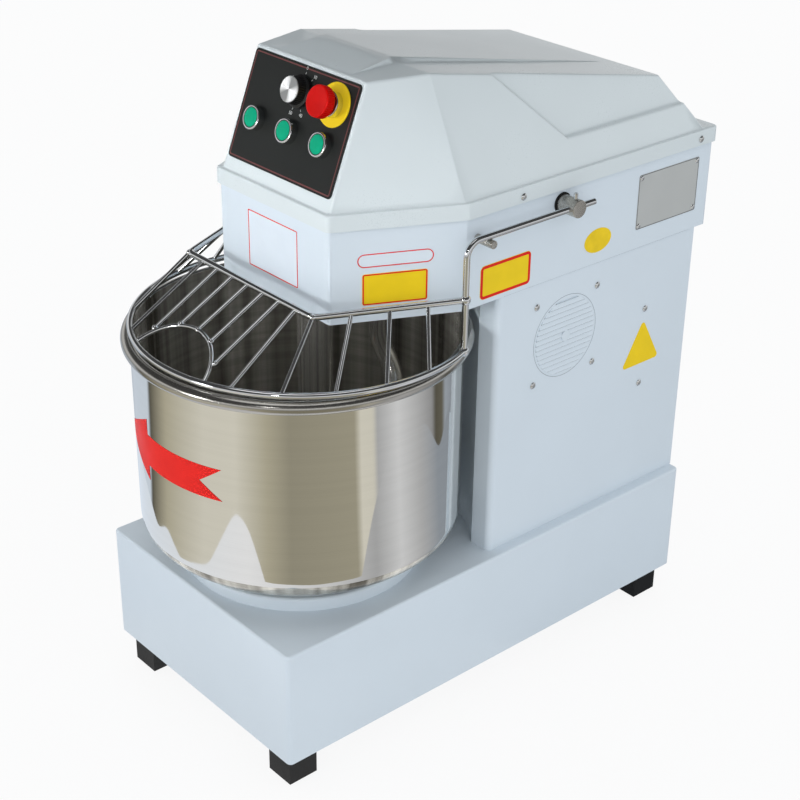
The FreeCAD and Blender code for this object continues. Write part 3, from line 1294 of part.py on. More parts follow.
def ring_point(angle_deg):
    """A point on the guard ring's centre line, by its angle from +X."""
    angle = math.radians(angle_deg)
    return V(
        GUARD_RING_R * math.cos(angle),
        GUARD_RING_Y + GUARD_RING_R * math.sin(angle),
        GUARD_RING_Z,
    )


def guard_ring_rod(radius):
    """Round rod of the guard ring, from arm to arm round the front of the bowl."""
    start = ring_point(GUARD_END_DEG)
    tangent = V(-math.sin(GUARD_END_ANGLE), math.cos(GUARD_END_ANGLE), 0)
    section = Part.Face(Part.Wire(Part.Circle(start, tangent, radius).toShape()))
    return section.revolve(V(0, GUARD_RING_Y, GUARD_RING_Z), DOWN, 180 + 2 * GUARD_END_DEG)


def arm_foot(side):
    """Where an arm's upright stands on the end of the guard ring."""
    return V(side * GUARD_ARM_X, GUARD_END_Y, GUARD_RING_Z)


def guard_arm_rod(side, radius):
    """Bent arm rod: up from the ring's end, then back through the pivot boss to a short tail."""
    foot_point = arm_foot(side)
    knee = V(foot_point.x, foot_point.y, GUARD_PIVOT_Z)
    tail = V(foot_point.x, GUARD_PIVOT_Y + GUARD_ARM_TAIL, GUARD_PIVOT_Z)
    return rod_along(rounded_path([foot_point, knee, tail], GUARD_ARM_BEND), radius)


def guard_frame_rod(radius):
    """Inner frame rod that follows the head's front and chamfers, from arm to arm."""
    half = GUARD_FRAME_WIDTH / 2
    points = [
        V(-GUARD_ARM_X, GUARD_END_Y, GUARD_FRAME_Z),
        V(-half, GUARD_FRAME_Y, GUARD_FRAME_Z),
        V(half, GUARD_FRAME_Y, GUARD_FRAME_Z),
        V(GUARD_ARM_X, GUARD_END_Y, GUARD_FRAME_Z),
    ]
    return rod_along(rounded_path(points, GUARD_FRAME_BEND), radius)


def arch_point(x, depth):
    """A point on the slope between the ring's front and the frame's front rod."""
    ring_front = V(0, GUARD_RING_Y - math.sqrt(GUARD_RING_R**2 - x * x), GUARD_RING_Z)
    frame_front = V(0, GUARD_FRAME_Y, GUARD_FRAME_Z)
    uphill = (frame_front - ring_front).normalize()
    return V(x, 0, 0) + ring_front + uphill * depth


def guard_arch_rod(radius):
    """Arched rod round the feed opening at the front of the guard."""
    start = arch_point(-ARCH_HALF_WIDTH, 0)
    crown = arch_point(0, ARCH_DEPTH)
    arc = Part.Arc(start, crown, mirrored(start)).toShape()
    return rod_along(Part.Wire(arc), radius)


def guard_ring():
    """The guard ring."""
    return guard_ring_rod(ROD_R)


def guard_arm(side):
    """One arm of the guard, seated on the ring."""
    return guard_arm_rod(side, ROD_R).cut(guard_ring_rod(ROD_R + WELD_GAP))


def guard_frame():
    """The inner frame, seated between the arms."""
    frame = guard_frame_rod(ROD_R)
    for side in SIDES.values():
        frame = frame.cut(guard_arm_rod(side, ROD_R + WELD_GAP))
    return frame


def guard_feed_arch():
    """The feed arch, seated on the ring."""
    arch = guard_arch_rod(SPOKE_R).cut(guard_ring_rod(ROD_R + WELD_GAP))
    return max(arch.Solids, key=lambda piece: piece.Volume)


def guard_spokes():
    """Spokes of the guard: those in front of the feed opening end on its arch, the rest on the ring."""
    half = GUARD_FRAME_WIDTH / 2
    pitch = GUARD_FRAME_WIDTH / (FRONT_SPOKES + 1)
    corner = V(half, GUARD_FRAME_Y, GUARD_FRAME_Z)
    arm_end = V(GUARD_ARM_X, GUARD_END_Y, GUARD_FRAME_Z)
    lines = []
    for step in range(1, FRONT_SPOKES + 1):
        top = V(pitch * step - half, GUARD_FRAME_Y, GUARD_FRAME_Z)
        if abs(top.x) < ARCH_HALF_WIDTH:
            lines.append((top, arch_crossing(top)))
    for side in SIDES.values():
        outermost = V(side * (half - pitch), GUARD_FRAME_Y, GUARD_FRAME_Z)
        tops = [outermost]
        for step in range(SIDE_SPOKES + 1):
            point = corner + (arm_end - corner) * (step / (SIDE_SPOKES + 1))
            tops.append(V(side * point.x, point.y, point.z))
        for step, top in enumerate(tops):
            landing = ring_point(step * SPOKE_STEP_DEG - FIRST_SPOKE_DEG)
            lines.append((top, V(side * landing.x, landing.y, landing.z)))
    rods = [guard_frame_rod(ROD_R + WELD_GAP), guard_ring_rod(ROD_R + WELD_GAP)]
    rods.append(guard_arch_rod(SPOKE_R + WELD_GAP))
    spokes = []
    for top, landing in lines:
        spoke = straight_rod(top, landing, SPOKE_R)
        for rod in rods:
            spoke = spoke.cut(rod)
        spokes.append(max(spoke.Solids, key=lambda piece: piece.Volume))
    return Part.makeCompound(spokes)


def arch_crossing(top):
    """Where a front spoke of constant X meets the feed arch."""
    share = math.sqrt(1 - (top.x / ARCH_HALF_WIDTH) ** 2)
    return arch_point(top.x, ARCH_DEPTH * share)


def boss_end_x():
    """Outer end of the pivot boss, past the arm rod."""
    return GUARD_ARM_X + ROD_R + BOSS_END_GAP


def guard_pivot(side):
    """Pivot boss with its cross hole, stub shaft through the head wall and switch cam inside."""
    start_x = HEAD_HALF + BUSH_FLANGE + CLEARANCE
    heading = X_AXIS * side
    axis = V(0, GUARD_PIVOT_Y, GUARD_PIVOT_Z)
    boss = cylinder(BOSS_R, axis + heading * start_x, heading, boss_end_x() - start_x)
    rim = [e for e in boss.Edges if abs(abs(e.BoundBox.Center.x) - boss_end_x()) < SEAT_FIT]
    boss = boss.makeChamfer(BEZEL_CHAMFER, rim)
    shaft_start = HEAD_HALF - PIVOT_SHAFT_REACH
    shaft = cylinder(PIVOT_SHAFT_R, axis + heading * shaft_start, heading, start_x - shaft_start)
    cam = cylinder(CAM_R, axis + heading * shaft_start, heading, CAM_WIDTH)
    flat_y = GUARD_PIVOT_Y - CAM_R
    flat = box(-HEAD_WIDTH, HEAD_WIDTH, flat_y, flat_y + CAM_FLAT, 0, 2 * HEAD_FLOOR_Z)
    solid = boss.fuse(shaft).fuse(cam.cut(flat))
    solid = solid.cut(guard_arm_rod(side, ROD_R + SEAT_FIT))
    screw = set_screw_start(side)
    return solid.cut(cylinder(SET_SCREW_R + SEAT_FIT, screw, Z_AXIS, BOSS_R))


def set_screw_start(side):
    """Tip of the set screw on the arm rod."""
    return V(side * GUARD_ARM_X, GUARD_PIVOT_Y, GUARD_PIVOT_Z + ROD_R + SEAT_FIT)


def guard_set_screws():
    """Socket set screws that clamp the arm rods in the bosses."""
    length = BOSS_R - ROD_R + SET_SCREW_PROUD
    screws = []
    for side in SIDES.values():
        start = set_screw_start(side)
        screw = cylinder(SET_SCREW_R, start, Z_AXIS, length)
        socket = cylinder(SET_SCREW_R / 2, start + Z_AXIS * (length - SET_SCREW_R), Z_AXIS, SET_SCREW_R)
        screws.append(screw.cut(socket))
    return Part.makeCompound(screws)


def guard_pivot_bushes():
    """Black flanged bushes in the head's side walls."""
    bushes = []
    axis = V(0, GUARD_PIVOT_Y, GUARD_PIVOT_Z)
    inner = PIVOT_SHAFT_R + RUNNING_FIT
    for side in SIDES.values():
        heading = X_AXIS * side
        tube_start = HEAD_HALF - BUSH_REACH
        tube = cylinder(inner + BUSH_WALL, axis + heading * tube_start, heading, BUSH_REACH)
        flange = cylinder(BUSH_FLANGE_R, axis + heading * HEAD_HALF, heading, BUSH_FLANGE)
        bore = cylinder(inner, axis + heading * tube_start, heading, BUSH_REACH + BUSH_FLANGE)
        bushes.append(tube.fuse(flange).cut(bore))
    return Part.makeCompound(bushes)


def guard_stop_pins():
    """Pins on the head's sides that the lowered arms rest on."""
    pins = []
    height = GUARD_PIVOT_Z - ROD_R - STOP_PIN_R - RUNNING_FIT
    for side in SIDES.values():
        pin = cylinder(STOP_PIN_R, V(side * HEAD_HALF, STOP_PIN_Y, height), X_AXIS * side, STOP_PIN_LENGTH)
        rim = [e for e in pin.Edges if abs(abs(e.BoundBox.Center.x) - HEAD_HALF - STOP_PIN_LENGTH) < SEAT_FIT]
        pins.append(pin.makeChamfer(BEZEL_CHAMFER, rim))
    return Part.makeCompound(pins)


def guard_switch():
    """Safety switch on the right wall under the pivot's cam."""
    top = GUARD_PIVOT_Z - CAM_R - SWITCH_GAP
    wall = HEAD_HALF - SHEET
    cam_x = HEAD_HALF - PIVOT_SHAFT_REACH
    half = SWITCH_DEPTH / 2
    return box(cam_x, wall, GUARD_PIVOT_Y - half, GUARD_PIVOT_Y + half, top - SWITCH_WIDTH, top)


def build():
    """Every piece of the machine by its node name."""
    base_deck_z = BASE_TOP_Z - SHEET
    transmission_top = HOOK_BELT_Z + PULLEY_WIDTH / 2 + SHAFT_END_GAP
    counter_low, counter_top = BASE_FLOOR_Z + SHAFT_END_GAP, base_deck_z - SHAFT_END_GAP
    parts = {
        "base_housing": base_housing(),
        "base_bottom_plate": base_bottom_plate(),
        "bowl_seat_collar": bowl_seat_collar(),
        "column_housing": column_housing(),
        "column_back_panel": column_back_panel(),
        "cable_gland": cable_gland(),
        "fan_grille": fan_grille(),
        "head_casing": head_casing(),
        "top_cover": top_cover(),
        "control_panel": control_panel(),
        "button_bezels": button_bezels(),
        "control_nuts": control_nuts(),
        "contact_blocks": contact_blocks(),
        "green_button_left": button_cap(-1),
        "green_button_middle": button_cap(0),
        "green_button_right": button_cap(1),
        "stop_legend_disc": stop_legend_disc(),
        "stop_collar": stop_collar(),
        "stop_stem": stop_stem(),
        "stop_mushroom": stop_mushroom(),
        "timer_knob": timer_knob(),
        "timer_knob_face": timer_knob_face(),
        "timer_unit": timer_unit(),
        "bowl": bowl(),
        "bowl_shaft": bowl_shaft(),
        "bowl_pulley": pulley(BOWL_PULLEY_R, BOWL_SHAFT_R, 0, BOWL_AXIS_Y, BOWL_BELT_Z),
        "bowl_bearing_housing": bowl_bearing_housing(),
        "bowl_bearings": bearing_pair(
            BOWL_AXIS_Y,
            BOWL_BEARING_R,
            BOWL_SHAFT_R,
            BOWL_BEARING_WIDTH,
            BOWL_HOUSING_BOTTOM_Z,
            BASE_TOP_Z + BOWL_HOUSING_FLANGE_HEIGHT,
        ),
        "spiral_hook": spiral_hook(),
        "hook_shaft": hook_shaft(),
        "hook_pulley": pulley(HOOK_PULLEY_R, HOOK_SHAFT_R, 0, HOOK_AXIS_Y, HOOK_BELT_Z),
        "hook_bearing_housing": hook_bearing_housing(),
        "hook_bearings": bearing_pair(
            HOOK_AXIS_Y,
            HOOK_BEARING_R,
            HOOK_SHAFT_R,
            HOOK_BEARING_WIDTH,
            HOOK_HOUSING_BOTTOM_Z,
            HOOK_HOUSING_BOTTOM_Z + HOOK_HOUSING_HEIGHT,
        ),
        "breaker_bar": breaker_bar(),
        "transmission_shaft": upright_shaft(
            TRANSMISSION_AXIS,
            TRANSMISSION_R,
            BASE_FLOOR_Z + SHAFT_END_GAP,
            transmission_top,
        ),
        "transmission_pulleys": Part.makeCompound(
            [
                pulley(HOOK_DRIVER_R, TRANSMISSION_R, 0, TRANSMISSION_Y, HOOK_BELT_Z),
                pulley(MOTOR_DRIVEN_R, TRANSMISSION_R, 0, TRANSMISSION_Y, MOTOR_BELT_Z),
                pulley(FIRST_DRIVER_R, TRANSMISSION_R, 0, TRANSMISSION_Y, FIRST_BELT_Z),
            ]
        ),
        "transmission_bearing_units": Part.makeCompound(
            [
                bearing_unit(TRANSMISSION_AXIS, TRANSMISSION_R, HEAD_DECK_Z, 1),
                bearing_unit(TRANSMISSION_AXIS, TRANSMISSION_R, BASE_FLOOR_Z, 1),
            ]
        ),
        "countershaft": upright_shaft(COUNTERSHAFT_AXIS, COUNTERSHAFT_R, counter_low, counter_top),
        "countershaft_pulleys": Part.makeCompound(
            [
                pulley(FIRST_DRIVEN_R, COUNTERSHAFT_R, COUNTERSHAFT_X, COUNTERSHAFT_Y, FIRST_BELT_Z),
                pulley(BOWL_DRIVER_R, COUNTERSHAFT_R, COUNTERSHAFT_X, COUNTERSHAFT_Y, BOWL_BELT_Z),
            ]
        ),
        "countershaft_bearing_units": Part.makeCompound(
            [
                bearing_unit(COUNTERSHAFT_AXIS, COUNTERSHAFT_R, BASE_FLOOR_Z, 1),
                bearing_unit(COUNTERSHAFT_AXIS, COUNTERSHAFT_R, base_deck_z, -1),
            ]
        ),
        "drive_belts": Part.makeCompound(
            [
                belt(TRANSMISSION_AXIS, HOOK_DRIVER_R, HOOK_AXIS, HOOK_PULLEY_R, HOOK_BELT_Z),
                belt(MOTOR_AXIS, MOTOR_PULLEY_R, TRANSMISSION_AXIS, MOTOR_DRIVEN_R, MOTOR_BELT_Z),
                belt(TRANSMISSION_AXIS, FIRST_DRIVER_R, COUNTERSHAFT_AXIS, FIRST_DRIVEN_R, FIRST_BELT_Z),
                belt(COUNTERSHAFT_AXIS, BOWL_DRIVER_R, BOWL_AXIS, BOWL_PULLEY_R, BOWL_BELT_Z),
            ]
        ),
        "motor_housing": motor_housing(),
        "motor_rotor": motor_rotor(),
        "motor_pulley": pulley(MOTOR_PULLEY_R, MOTOR_SHAFT_R, 0, MOTOR_Y, MOTOR_BELT_Z),
        "motor_mount_plate": motor_mount_plate(),
        "speed_inverter": speed_inverter(),
        "fan_frame": fan_frame(),
        "fan_rotor": fan_rotor(),
        "guard_ring": guard_ring(),
        "guard_frame": guard_frame(),
        "guard_feed_arch": guard_feed_arch(),
        "guard_spokes": guard_spokes(),
        "guard_set_screws": guard_set_screws(),
        "guard_pivot_bushes": guard_pivot_bushes(),
        "guard_stop_pins": guard_stop_pins(),
        "guard_switch": guard_switch(),
    }
    feet = [foot(side, end) for side in SIDES.values() for end in ("front", "rear")]
    parts["feet"] = Part.makeCompound(feet)
    arms = Part.makeCompound([guard_arm(side) for side in SIDES.values()])
    parts["guard_arms"] = arms
    parts["guard_pivots"] = Part.makeCompound([guard_pivot(side) for side in SIDES.values()])
    return parts


os.makedirs("parts", exist_ok=True)
for name, shape in build().items():
    shape.exportStep("parts/" + name + ".step")
    print(name, len(shape.Solids), shape.isValid(), round(shape.Volume / 1000, 1))
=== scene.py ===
"""Spiral dough mixer: finishes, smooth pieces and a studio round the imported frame.

Places are in metres in the frame's axes: +X right, -Y towards the operator, +Z up.
"""
import json
import math

import bmesh
import bpy
import numpy as np
from mathutils import Matrix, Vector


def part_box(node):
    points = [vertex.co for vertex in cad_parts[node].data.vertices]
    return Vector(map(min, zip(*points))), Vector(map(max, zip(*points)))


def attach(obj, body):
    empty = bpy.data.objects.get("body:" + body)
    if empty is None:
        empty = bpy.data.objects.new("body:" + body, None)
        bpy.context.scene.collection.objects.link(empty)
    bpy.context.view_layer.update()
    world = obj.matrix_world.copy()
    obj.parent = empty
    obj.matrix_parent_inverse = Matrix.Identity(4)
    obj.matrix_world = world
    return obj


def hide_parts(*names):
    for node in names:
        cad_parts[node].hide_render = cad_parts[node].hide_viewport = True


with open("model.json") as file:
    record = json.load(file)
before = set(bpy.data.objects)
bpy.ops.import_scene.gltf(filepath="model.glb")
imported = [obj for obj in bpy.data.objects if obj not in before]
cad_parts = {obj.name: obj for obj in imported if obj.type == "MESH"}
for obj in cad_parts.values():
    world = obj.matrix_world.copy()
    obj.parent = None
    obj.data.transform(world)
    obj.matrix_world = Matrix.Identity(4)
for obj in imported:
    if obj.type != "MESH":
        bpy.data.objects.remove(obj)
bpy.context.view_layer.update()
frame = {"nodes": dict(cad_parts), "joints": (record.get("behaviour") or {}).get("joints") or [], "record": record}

bl_info = {
    "name": "Spiral Dough Mixer",
    "version": (1, 0, 0),
    "blender": (4, 5, 0),
    "location": "View3D > Sidebar > Mixer",
    "description": "Dresses the mixer's frame with finishes, smooth pieces and a studio",
    "category": "Object",
}

JOINTS = {joint["name"]: joint for joint in frame["joints"]}
SLOTS = {part["node"]: part["material_slot"] for part in frame["record"]["subparts"]}
BODIES = frame["record"]["behaviour"]["bodies"]
BODY_OF = {node: body for body, members in BODIES.items() for node in members}

X_AXIS, Y_AXIS, Z_AXIS = np.eye(3)
SIDES = (-1, 1)
TURN = 2 * math.pi
MERGE_DISTANCE = 1e-6
SHARP_DEGREES = 35.0


def extent(node_name):
    """Lowest and highest corner of a frame node as arrays."""
    low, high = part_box(node_name)
    return np.array(low), np.array(high)


def unit(vectors):
    """Vectors scaled to length one along their last axis."""
    vectors = np.asarray(vectors, float)
    return vectors / np.linalg.norm(vectors, axis=-1, keepdims=True)


def srgb(red, green, blue):
    """Linear colour of an 8-bit screen colour."""
    share = np.array([red, green, blue]) / 255
    linear = np.where(share <= 0.04045, share / 12.92, ((share + 0.055) / 1.055) ** 2.4)
    return tuple(float(value) for value in linear)


# Places read from the frame
BOWL_LOW, BOWL_HIGH = extent("bowl")
BOWL_CENTRE = np.array([*JOINTS["bowl_turn"]["pos_m"][:2], 0])
BOWL_RIM_R = (BOWL_HIGH[0] - BOWL_LOW[0]) / 2
HOOK_CENTRE = np.array([*JOINTS["hook_turn"]["pos_m"][:2], 0])
HOOK_JOINT_Z = JOINTS["hook_turn"]["pos_m"][2]
HOOK_LOW_Z = extent("spiral_hook")[0][2]
BAR_LOW, BAR_HIGH = extent("breaker_bar")
BAR_CENTRE = (BAR_LOW + BAR_HIGH) / 2 * (1, 1, 0)
COLLAR_LOW, COLLAR_HIGH = extent("bowl_seat_collar")
HEAD_LOW, HEAD_HIGH = extent("head_casing")
COLUMN_LOW, COLUMN_HIGH = extent("column_housing")
COVER_HIGH = extent("top_cover")[1]
RING_LOW, RING_HIGH = extent("guard_ring")
ARM_HIGH = extent("guard_arms")[1]
FRAME_LOW, FRAME_HIGH = extent("guard_frame")
GUARD_PIVOT = np.array(JOINTS["guard_lift"]["pos_m"])
DIAL = np.array(JOINTS["timer_turn"]["pos_m"])
PANEL_OUT = np.array(JOINTS["timer_turn"]["axis"])
PANEL_UP = np.cross(PANEL_OUT, X_AXIS)
STOP_X = JOINTS["stop_twist"]["pos_m"][0]
BUTTON_NODES = ("green_button_left", "green_button_middle", "green_button_right")
FAN_CENTRE = np.array(JOINTS["fan_turn"]["pos_m"])

# Flat faces that carry plates, marks and screws: a point, the way across and the way up
HEAD_NOSE_HALF = 0.1005
HEAD_SHOULDER_Y = -0.054
NOSE_CORNER = np.array([HEAD_NOSE_HALF, HEAD_LOW[1], 0])
SHOULDER_CORNER = np.array([HEAD_HIGH[0], HEAD_SHOULDER_Y, 0])
HEAD_FRONT = (np.array([0, HEAD_LOW[1], 0]), X_AXIS, Z_AXIS)
HEAD_CHAMFER = (NOSE_CORNER, unit(SHOULDER_CORNER - NOSE_CORNER), Z_AXIS)
HEAD_SIDE = (np.array([HEAD_HIGH[0], 0, 0]), Y_AXIS, Z_AXIS)
COLUMN_SIDE = (np.array([COLUMN_HIGH[0], 0, 0]), Y_AXIS, Z_AXIS)
BRIM_SIDE = (np.array([COVER_HIGH[0], 0, 0]), Y_AXIS, Z_AXIS)
PANEL_FACE = (DIAL, X_AXIS, PANEL_UP)


def length(name, description, default):
    """A size property in metres."""
    return bpy.props.FloatProperty(
        name=name, description=description, default=default, min=0, unit="LENGTH", precision=4
    )


def tint(name, description, red, green, blue):
    """A colour property, given as a screen colour."""
    return bpy.props.FloatVectorProperty(
        name=name,
        description=description,
        subtype="COLOR",
        size=3,
        min=0,
        max=1,
        default=srgb(red, green, blue),
    )


class MixerSizes(bpy.types.PropertyGroup):
    """Sizes of the modelled pieces."""

    bowl_wall: length("Bowl wall", "Thickness of the bowl's sheet", 0.002)
    bead_radius: length("Bead radius", "Radius of the rolled bead round the bowl's rim", 0.008)
    bead_overhang: length("Bead overhang", "How far the bead stands out from the wall", 0.0105)
    bowl_corner: length("Bowl corner", "Radius between the bowl's wall and floor", 0.033)
    hook_rod: length("Hook rod", "Radius of the spiral hook's bar", 0.012)
    hook_sweep: length("Hook sweep", "Radius that the outside of the hook sweeps", 0.066)
    hook_flange: length("Hook flange", "Radius of the hook's bolted flange", 0.038)
    bar_radius: length("Breaker bar", "Radius of the breaker bar", 0.0215)
    rod_radius: length("Guard rod", "Radius of the guard's main rods", 0.004)
    spoke_radius: length("Guard spoke", "Radius of the guard's spokes", 0.0025)
    boss_radius: length("Pivot boss", "Radius of the guard's pivot bosses", 0.011)
    screw_radius: length("Screw head", "Radius of the panel screws' heads", 0.0044)
    plate_thickness: length("Plate thickness", "Thickness of plates and stickers", 0.0004)


class MixerColours(bpy.types.PropertyGroup):
    """Colours of the finishes."""

    paint: tint("Paint", "Powder coat of base, column and head", 213, 224, 233)
    cover: tint("Cover", "Moulded top cover", 213, 222, 225)
    stainless: tint("Stainless", "Bowl, hook and bar", 230, 230, 227)
    chrome: tint("Chrome", "Guard rods and bright trim", 228, 230, 232)
    rubber: tint("Rubber", "Feet and bushes", 13, 14, 15)
    panel: tint("Panel", "Control panel sheet", 26, 29, 28)
    plastic: tint("Black plastic", "Knob and hidden mouldings", 22, 23, 24)
    green: tint("Green", "Push-button caps", 0, 162, 122)
    red: tint("Red", "Emergency stop head", 198, 10, 6)
    yellow: tint("Yellow", "Legend disc and stickers", 243, 209, 34)
    sign_red: tint("Sign red", "Borders and the turning arrow", 224, 38, 32)
    plate: tint("Plate", "Bare metal plate on the head", 205, 208, 207)


# Meshes


def strip_faces(rows, columns, close_rows, close_columns):
    """Quads of a grid as corner indices and as (column, row) steps for its UV map."""
    row = np.arange(rows if close_rows else rows - 1)
    column = np.arange(columns if close_columns else columns - 1)
    row, column = (values.ravel() for values in np.meshgrid(row, column, indexing="ij"))
    row_steps = np.stack([row, row, row + 1, row + 1], axis=1)
    column_steps = np.stack([column, column + 1, column + 1, column], axis=1)
    corners = (row_steps % rows) * columns + column_steps % columns
    return corners, np.stack([column_steps / columns, row_steps / rows], axis=2)


def tidy_mesh(mesh, turn_out=True):
    """Merges seams and poles, may turn each closed surface outwards, and keeps creases sharp."""
    shape = bmesh.new()
    shape.from_mesh(mesh)
    bmesh.ops.remove_doubles(shape, verts=shape.verts, dist=MERGE_DISTANCE)
    if turn_out:
        bmesh.ops.recalc_face_normals(shape, faces=shape.faces)
    shape.to_mesh(mesh)
    shape.free()
    mesh.shade_smooth()
    mesh.set_sharp_from_angle(angle=math.radians(SHARP_DEGREES))


def finish(name):
    """The material made for a finish, apart from the frame's own material of that slot."""
    return bpy.data.materials[name + "_finish"]


def add_object(name, mesh, material):
    """Links a mesh as an object at the origin with one material."""
    piece = bpy.data.objects.new(name, mesh)
    mesh.materials.append(material)
    bpy.context.scene.collection.objects.link(piece)
    return piece


def build_mesh(name, patches):
    """One mesh of several grids of points, each with its UV map: column along U, row along V."""
    points, faces, maps = [], [], []
    count = 0
    for grid, close_rows, close_columns in patches:
        rows, columns = grid.shape[:2]
        corners, steps = strip_faces(rows, columns, close_rows, close_columns)
        points.append(grid.reshape(-1, 3))
        faces.append(corners + count)
        maps.append(steps.reshape(-1, 2))
        count += rows * columns
    mesh = bpy.data.meshes.new(name)
    mesh.from_pydata(np.concatenate(points).tolist(), [], np.concatenate(faces).tolist())
    layer = mesh.uv_layers.new(name="UVMap")
    layer.data.foreach_set("uv", np.concatenate(maps).astype(np.float32).ravel())
    return mesh


def dress(name, mesh, material, stands_for=None, body="frame", slot=None):
    """Links a mesh as a piece.

    One that stands for a frame node rides on that node's body and has its slot, or another.
    """
    piece = add_object(name, mesh, finish(material))
    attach(piece, BODY_OF[stands_for] if stands_for else body)
    if stands_for:
        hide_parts(stands_for)
    return piece


def add_piece(name, patches, material, stands_for=None, **place):
    """A piece of one or more patches."""
    mesh = build_mesh(name, patches)
    tidy_mesh(mesh)
    dress(name, mesh, material, stands_for, **place)


def level_way(degrees):
    """Level directions by their angle from +X."""
    angle = np.radians(degrees)
    return np.stack([np.cos(angle), np.sin(angle), np.zeros_like(angle)], axis=-1)


def perpendicular(axis):
    """A fixed direction across an axis: level wherever the axis isn't upright."""
    if abs(axis[2]) > 0.9:
        return X_AXIS
    return unit(np.cross(Z_AXIS, axis))


def lathe(profile, centre, axis=Z_AXIS, segments=96, closed=False, flute=None):
    """A profile of (radius, height) pairs turned about an axis.

    Each point is centre + axis * height + radius * (across * cos(angle) + third * sin(angle)).
    A flute of (first row, last row, count, depth) makes the radius of those rows wave by
    depth * (1 - cos(count * angle)) / 2.
    """
    radius, height = np.array(profile, float).T
    angle = np.linspace(0, TURN, segments, endpoint=False)
    across = perpendicular(axis)
    third = np.cross(axis, across)
    spokes = np.outer(np.cos(angle), across) + np.outer(np.sin(angle), third)
    radii = np.repeat(radius[:, None], segments, axis=1)
    if flute:
        first, last, count, depth = flute
        radii[first:last] -= depth * (1 - np.cos(count * angle)) / 2
    grid = centre + height[:, None, None] * axis + radii[..., None] * spokes
    return grid, closed, True


def rounded(corners, radius, steps=6, closed=False):
    """An outline or path whose corners are arcs.

    Each arc's centre lies radius / sin(half the corner's angle) along the bisector, and the arc
    runs between its two points of contact at equal steps of angle. Radius is one value or one
    for each corner.
    """
    corners = np.asarray(corners, float)
    bends = corners if closed else corners[1:-1]
    before = np.roll(corners, 1, axis=0) if closed else corners[:-2]
    after = np.roll(corners, -1, axis=0) if closed else corners[2:]
    radius = np.broadcast_to(radius, len(bends)).astype(float)[:, None]
    back, ahead = unit(before - bends), unit(after - bends)
    half = np.arccos(np.clip((back * ahead).sum(axis=1), -1, 1))[:, None] / 2
    centre = bends + unit(back + ahead) * radius / np.sin(half)
    start = bends + back * radius / np.tan(half) - centre
    end = bends + ahead * radius / np.tan(half) - centre
    sweep = (math.pi - 2 * half)[:, None]
    share = np.linspace(0, 1, steps + 1)[None, :, None]
    blend = np.sin((1 - share) * sweep) * start[:, None] + np.sin(share * sweep) * end[:, None]
    arcs = (centre[:, None] + blend / np.sin(sweep)).reshape(-1, corners.shape[1])
    return arcs if closed else np.concatenate([corners[:1], arcs, corners[-1:]])


def stepped(first, second, low, step, high):
    """Corners of a turned solid with one radius up to a step and another from there on."""
    return [(0, low), (first, low), (first, step), (second, step), (second, high), (0, high)]


def washer(section, edges, centre, axis, segments=96):
    """A turned ring whose section has rounded corners."""
    return lathe(rounded(section, edges, closed=True), centre, axis, segments, closed=True)


def tube(path, radius, reference, segments=20):
    """A round rod along a path.

    Rings of the radius stand across the path's heading, turned by a reference direction, and
    each end closes on its own centre.
    """
    path = np.asarray(path, float)
    steps = unit(np.diff(path, axis=0))
    heading = unit(np.concatenate([steps[:1], steps[:-1] + steps[1:], steps[-1:]]))
    side = unit(np.cross(heading, reference))
    lift = np.cross(side, heading)
    angle = np.linspace(0, TURN, segments, endpoint=False)[:, None]
    ring = side[:, None] * np.cos(angle) + lift[:, None] * np.sin(angle)
    rows = path[:, None] + radius * ring
    ends = [np.repeat(path[[end], None], segments, axis=1) for end in (0, -1)]
    return np.concatenate([ends[0], rows, ends[1]]), False, True


def blob(centre, radius, segments=16):
    """A ball: a half circle turned about an upright axis."""
    angle = np.linspace(-TURN / 4, TURN / 4, segments // 2 + 1)
    return lathe(arc(radius, angle), np.asarray(centre), segments=segments)


def on_face(face, flat, lift):
    """Points of a flat face: origin + first * across + second * up + lift * outwards."""
    origin, across, up = face
    flat = np.asarray(flat, float)
    return origin + flat[..., :1] * across + flat[..., 1:] * up + lift * np.cross(across, up)


def inset(outline, distance):
    """An anticlockwise outline moved inwards across its own direction."""
    heading = unit(np.roll(outline, -1, axis=0) - np.roll(outline, 1, axis=0))
    return outline + distance * np.stack([-heading[:, 1], heading[:, 0]], axis=1)


def oblong(left, right, low, high):
    """Corners of a rectangle, anticlockwise from its lower left."""
    return np.array([[left, low], [right, low], [right, high], [left, high]])


def arc(radius, angle, centre=(0, 0)):
    """Points of a circle, or of an ellipse with two radii, by their angles."""
    return np.array(centre) + np.array(radius) * np.stack([np.cos(angle), np.sin(angle)], axis=-1)


def plate(face, outline, low, high, edge=0.0001):
    """A flat plate: its outline runs up from one height to another, over a small bevel, to its middle."""
    middle = np.repeat(outline.mean(axis=0)[None], len(outline), axis=0)
    top = inset(outline, edge)
    levels = [(middle, low), (outline, low), (outline, high - edge), (top, high), (middle, high)]
    return np.stack([on_face(face, flat, lift) for flat, lift in levels]), False, True


def border(face, outline, width, low, high):
    """A flat ring between an outline and its inset."""
    inner = inset(outline, width)
    levels = [(outline, low), (outline, high), (inner, high), (inner, low)]
    return np.stack([on_face(face, flat, lift) for flat, lift in levels]), True, True


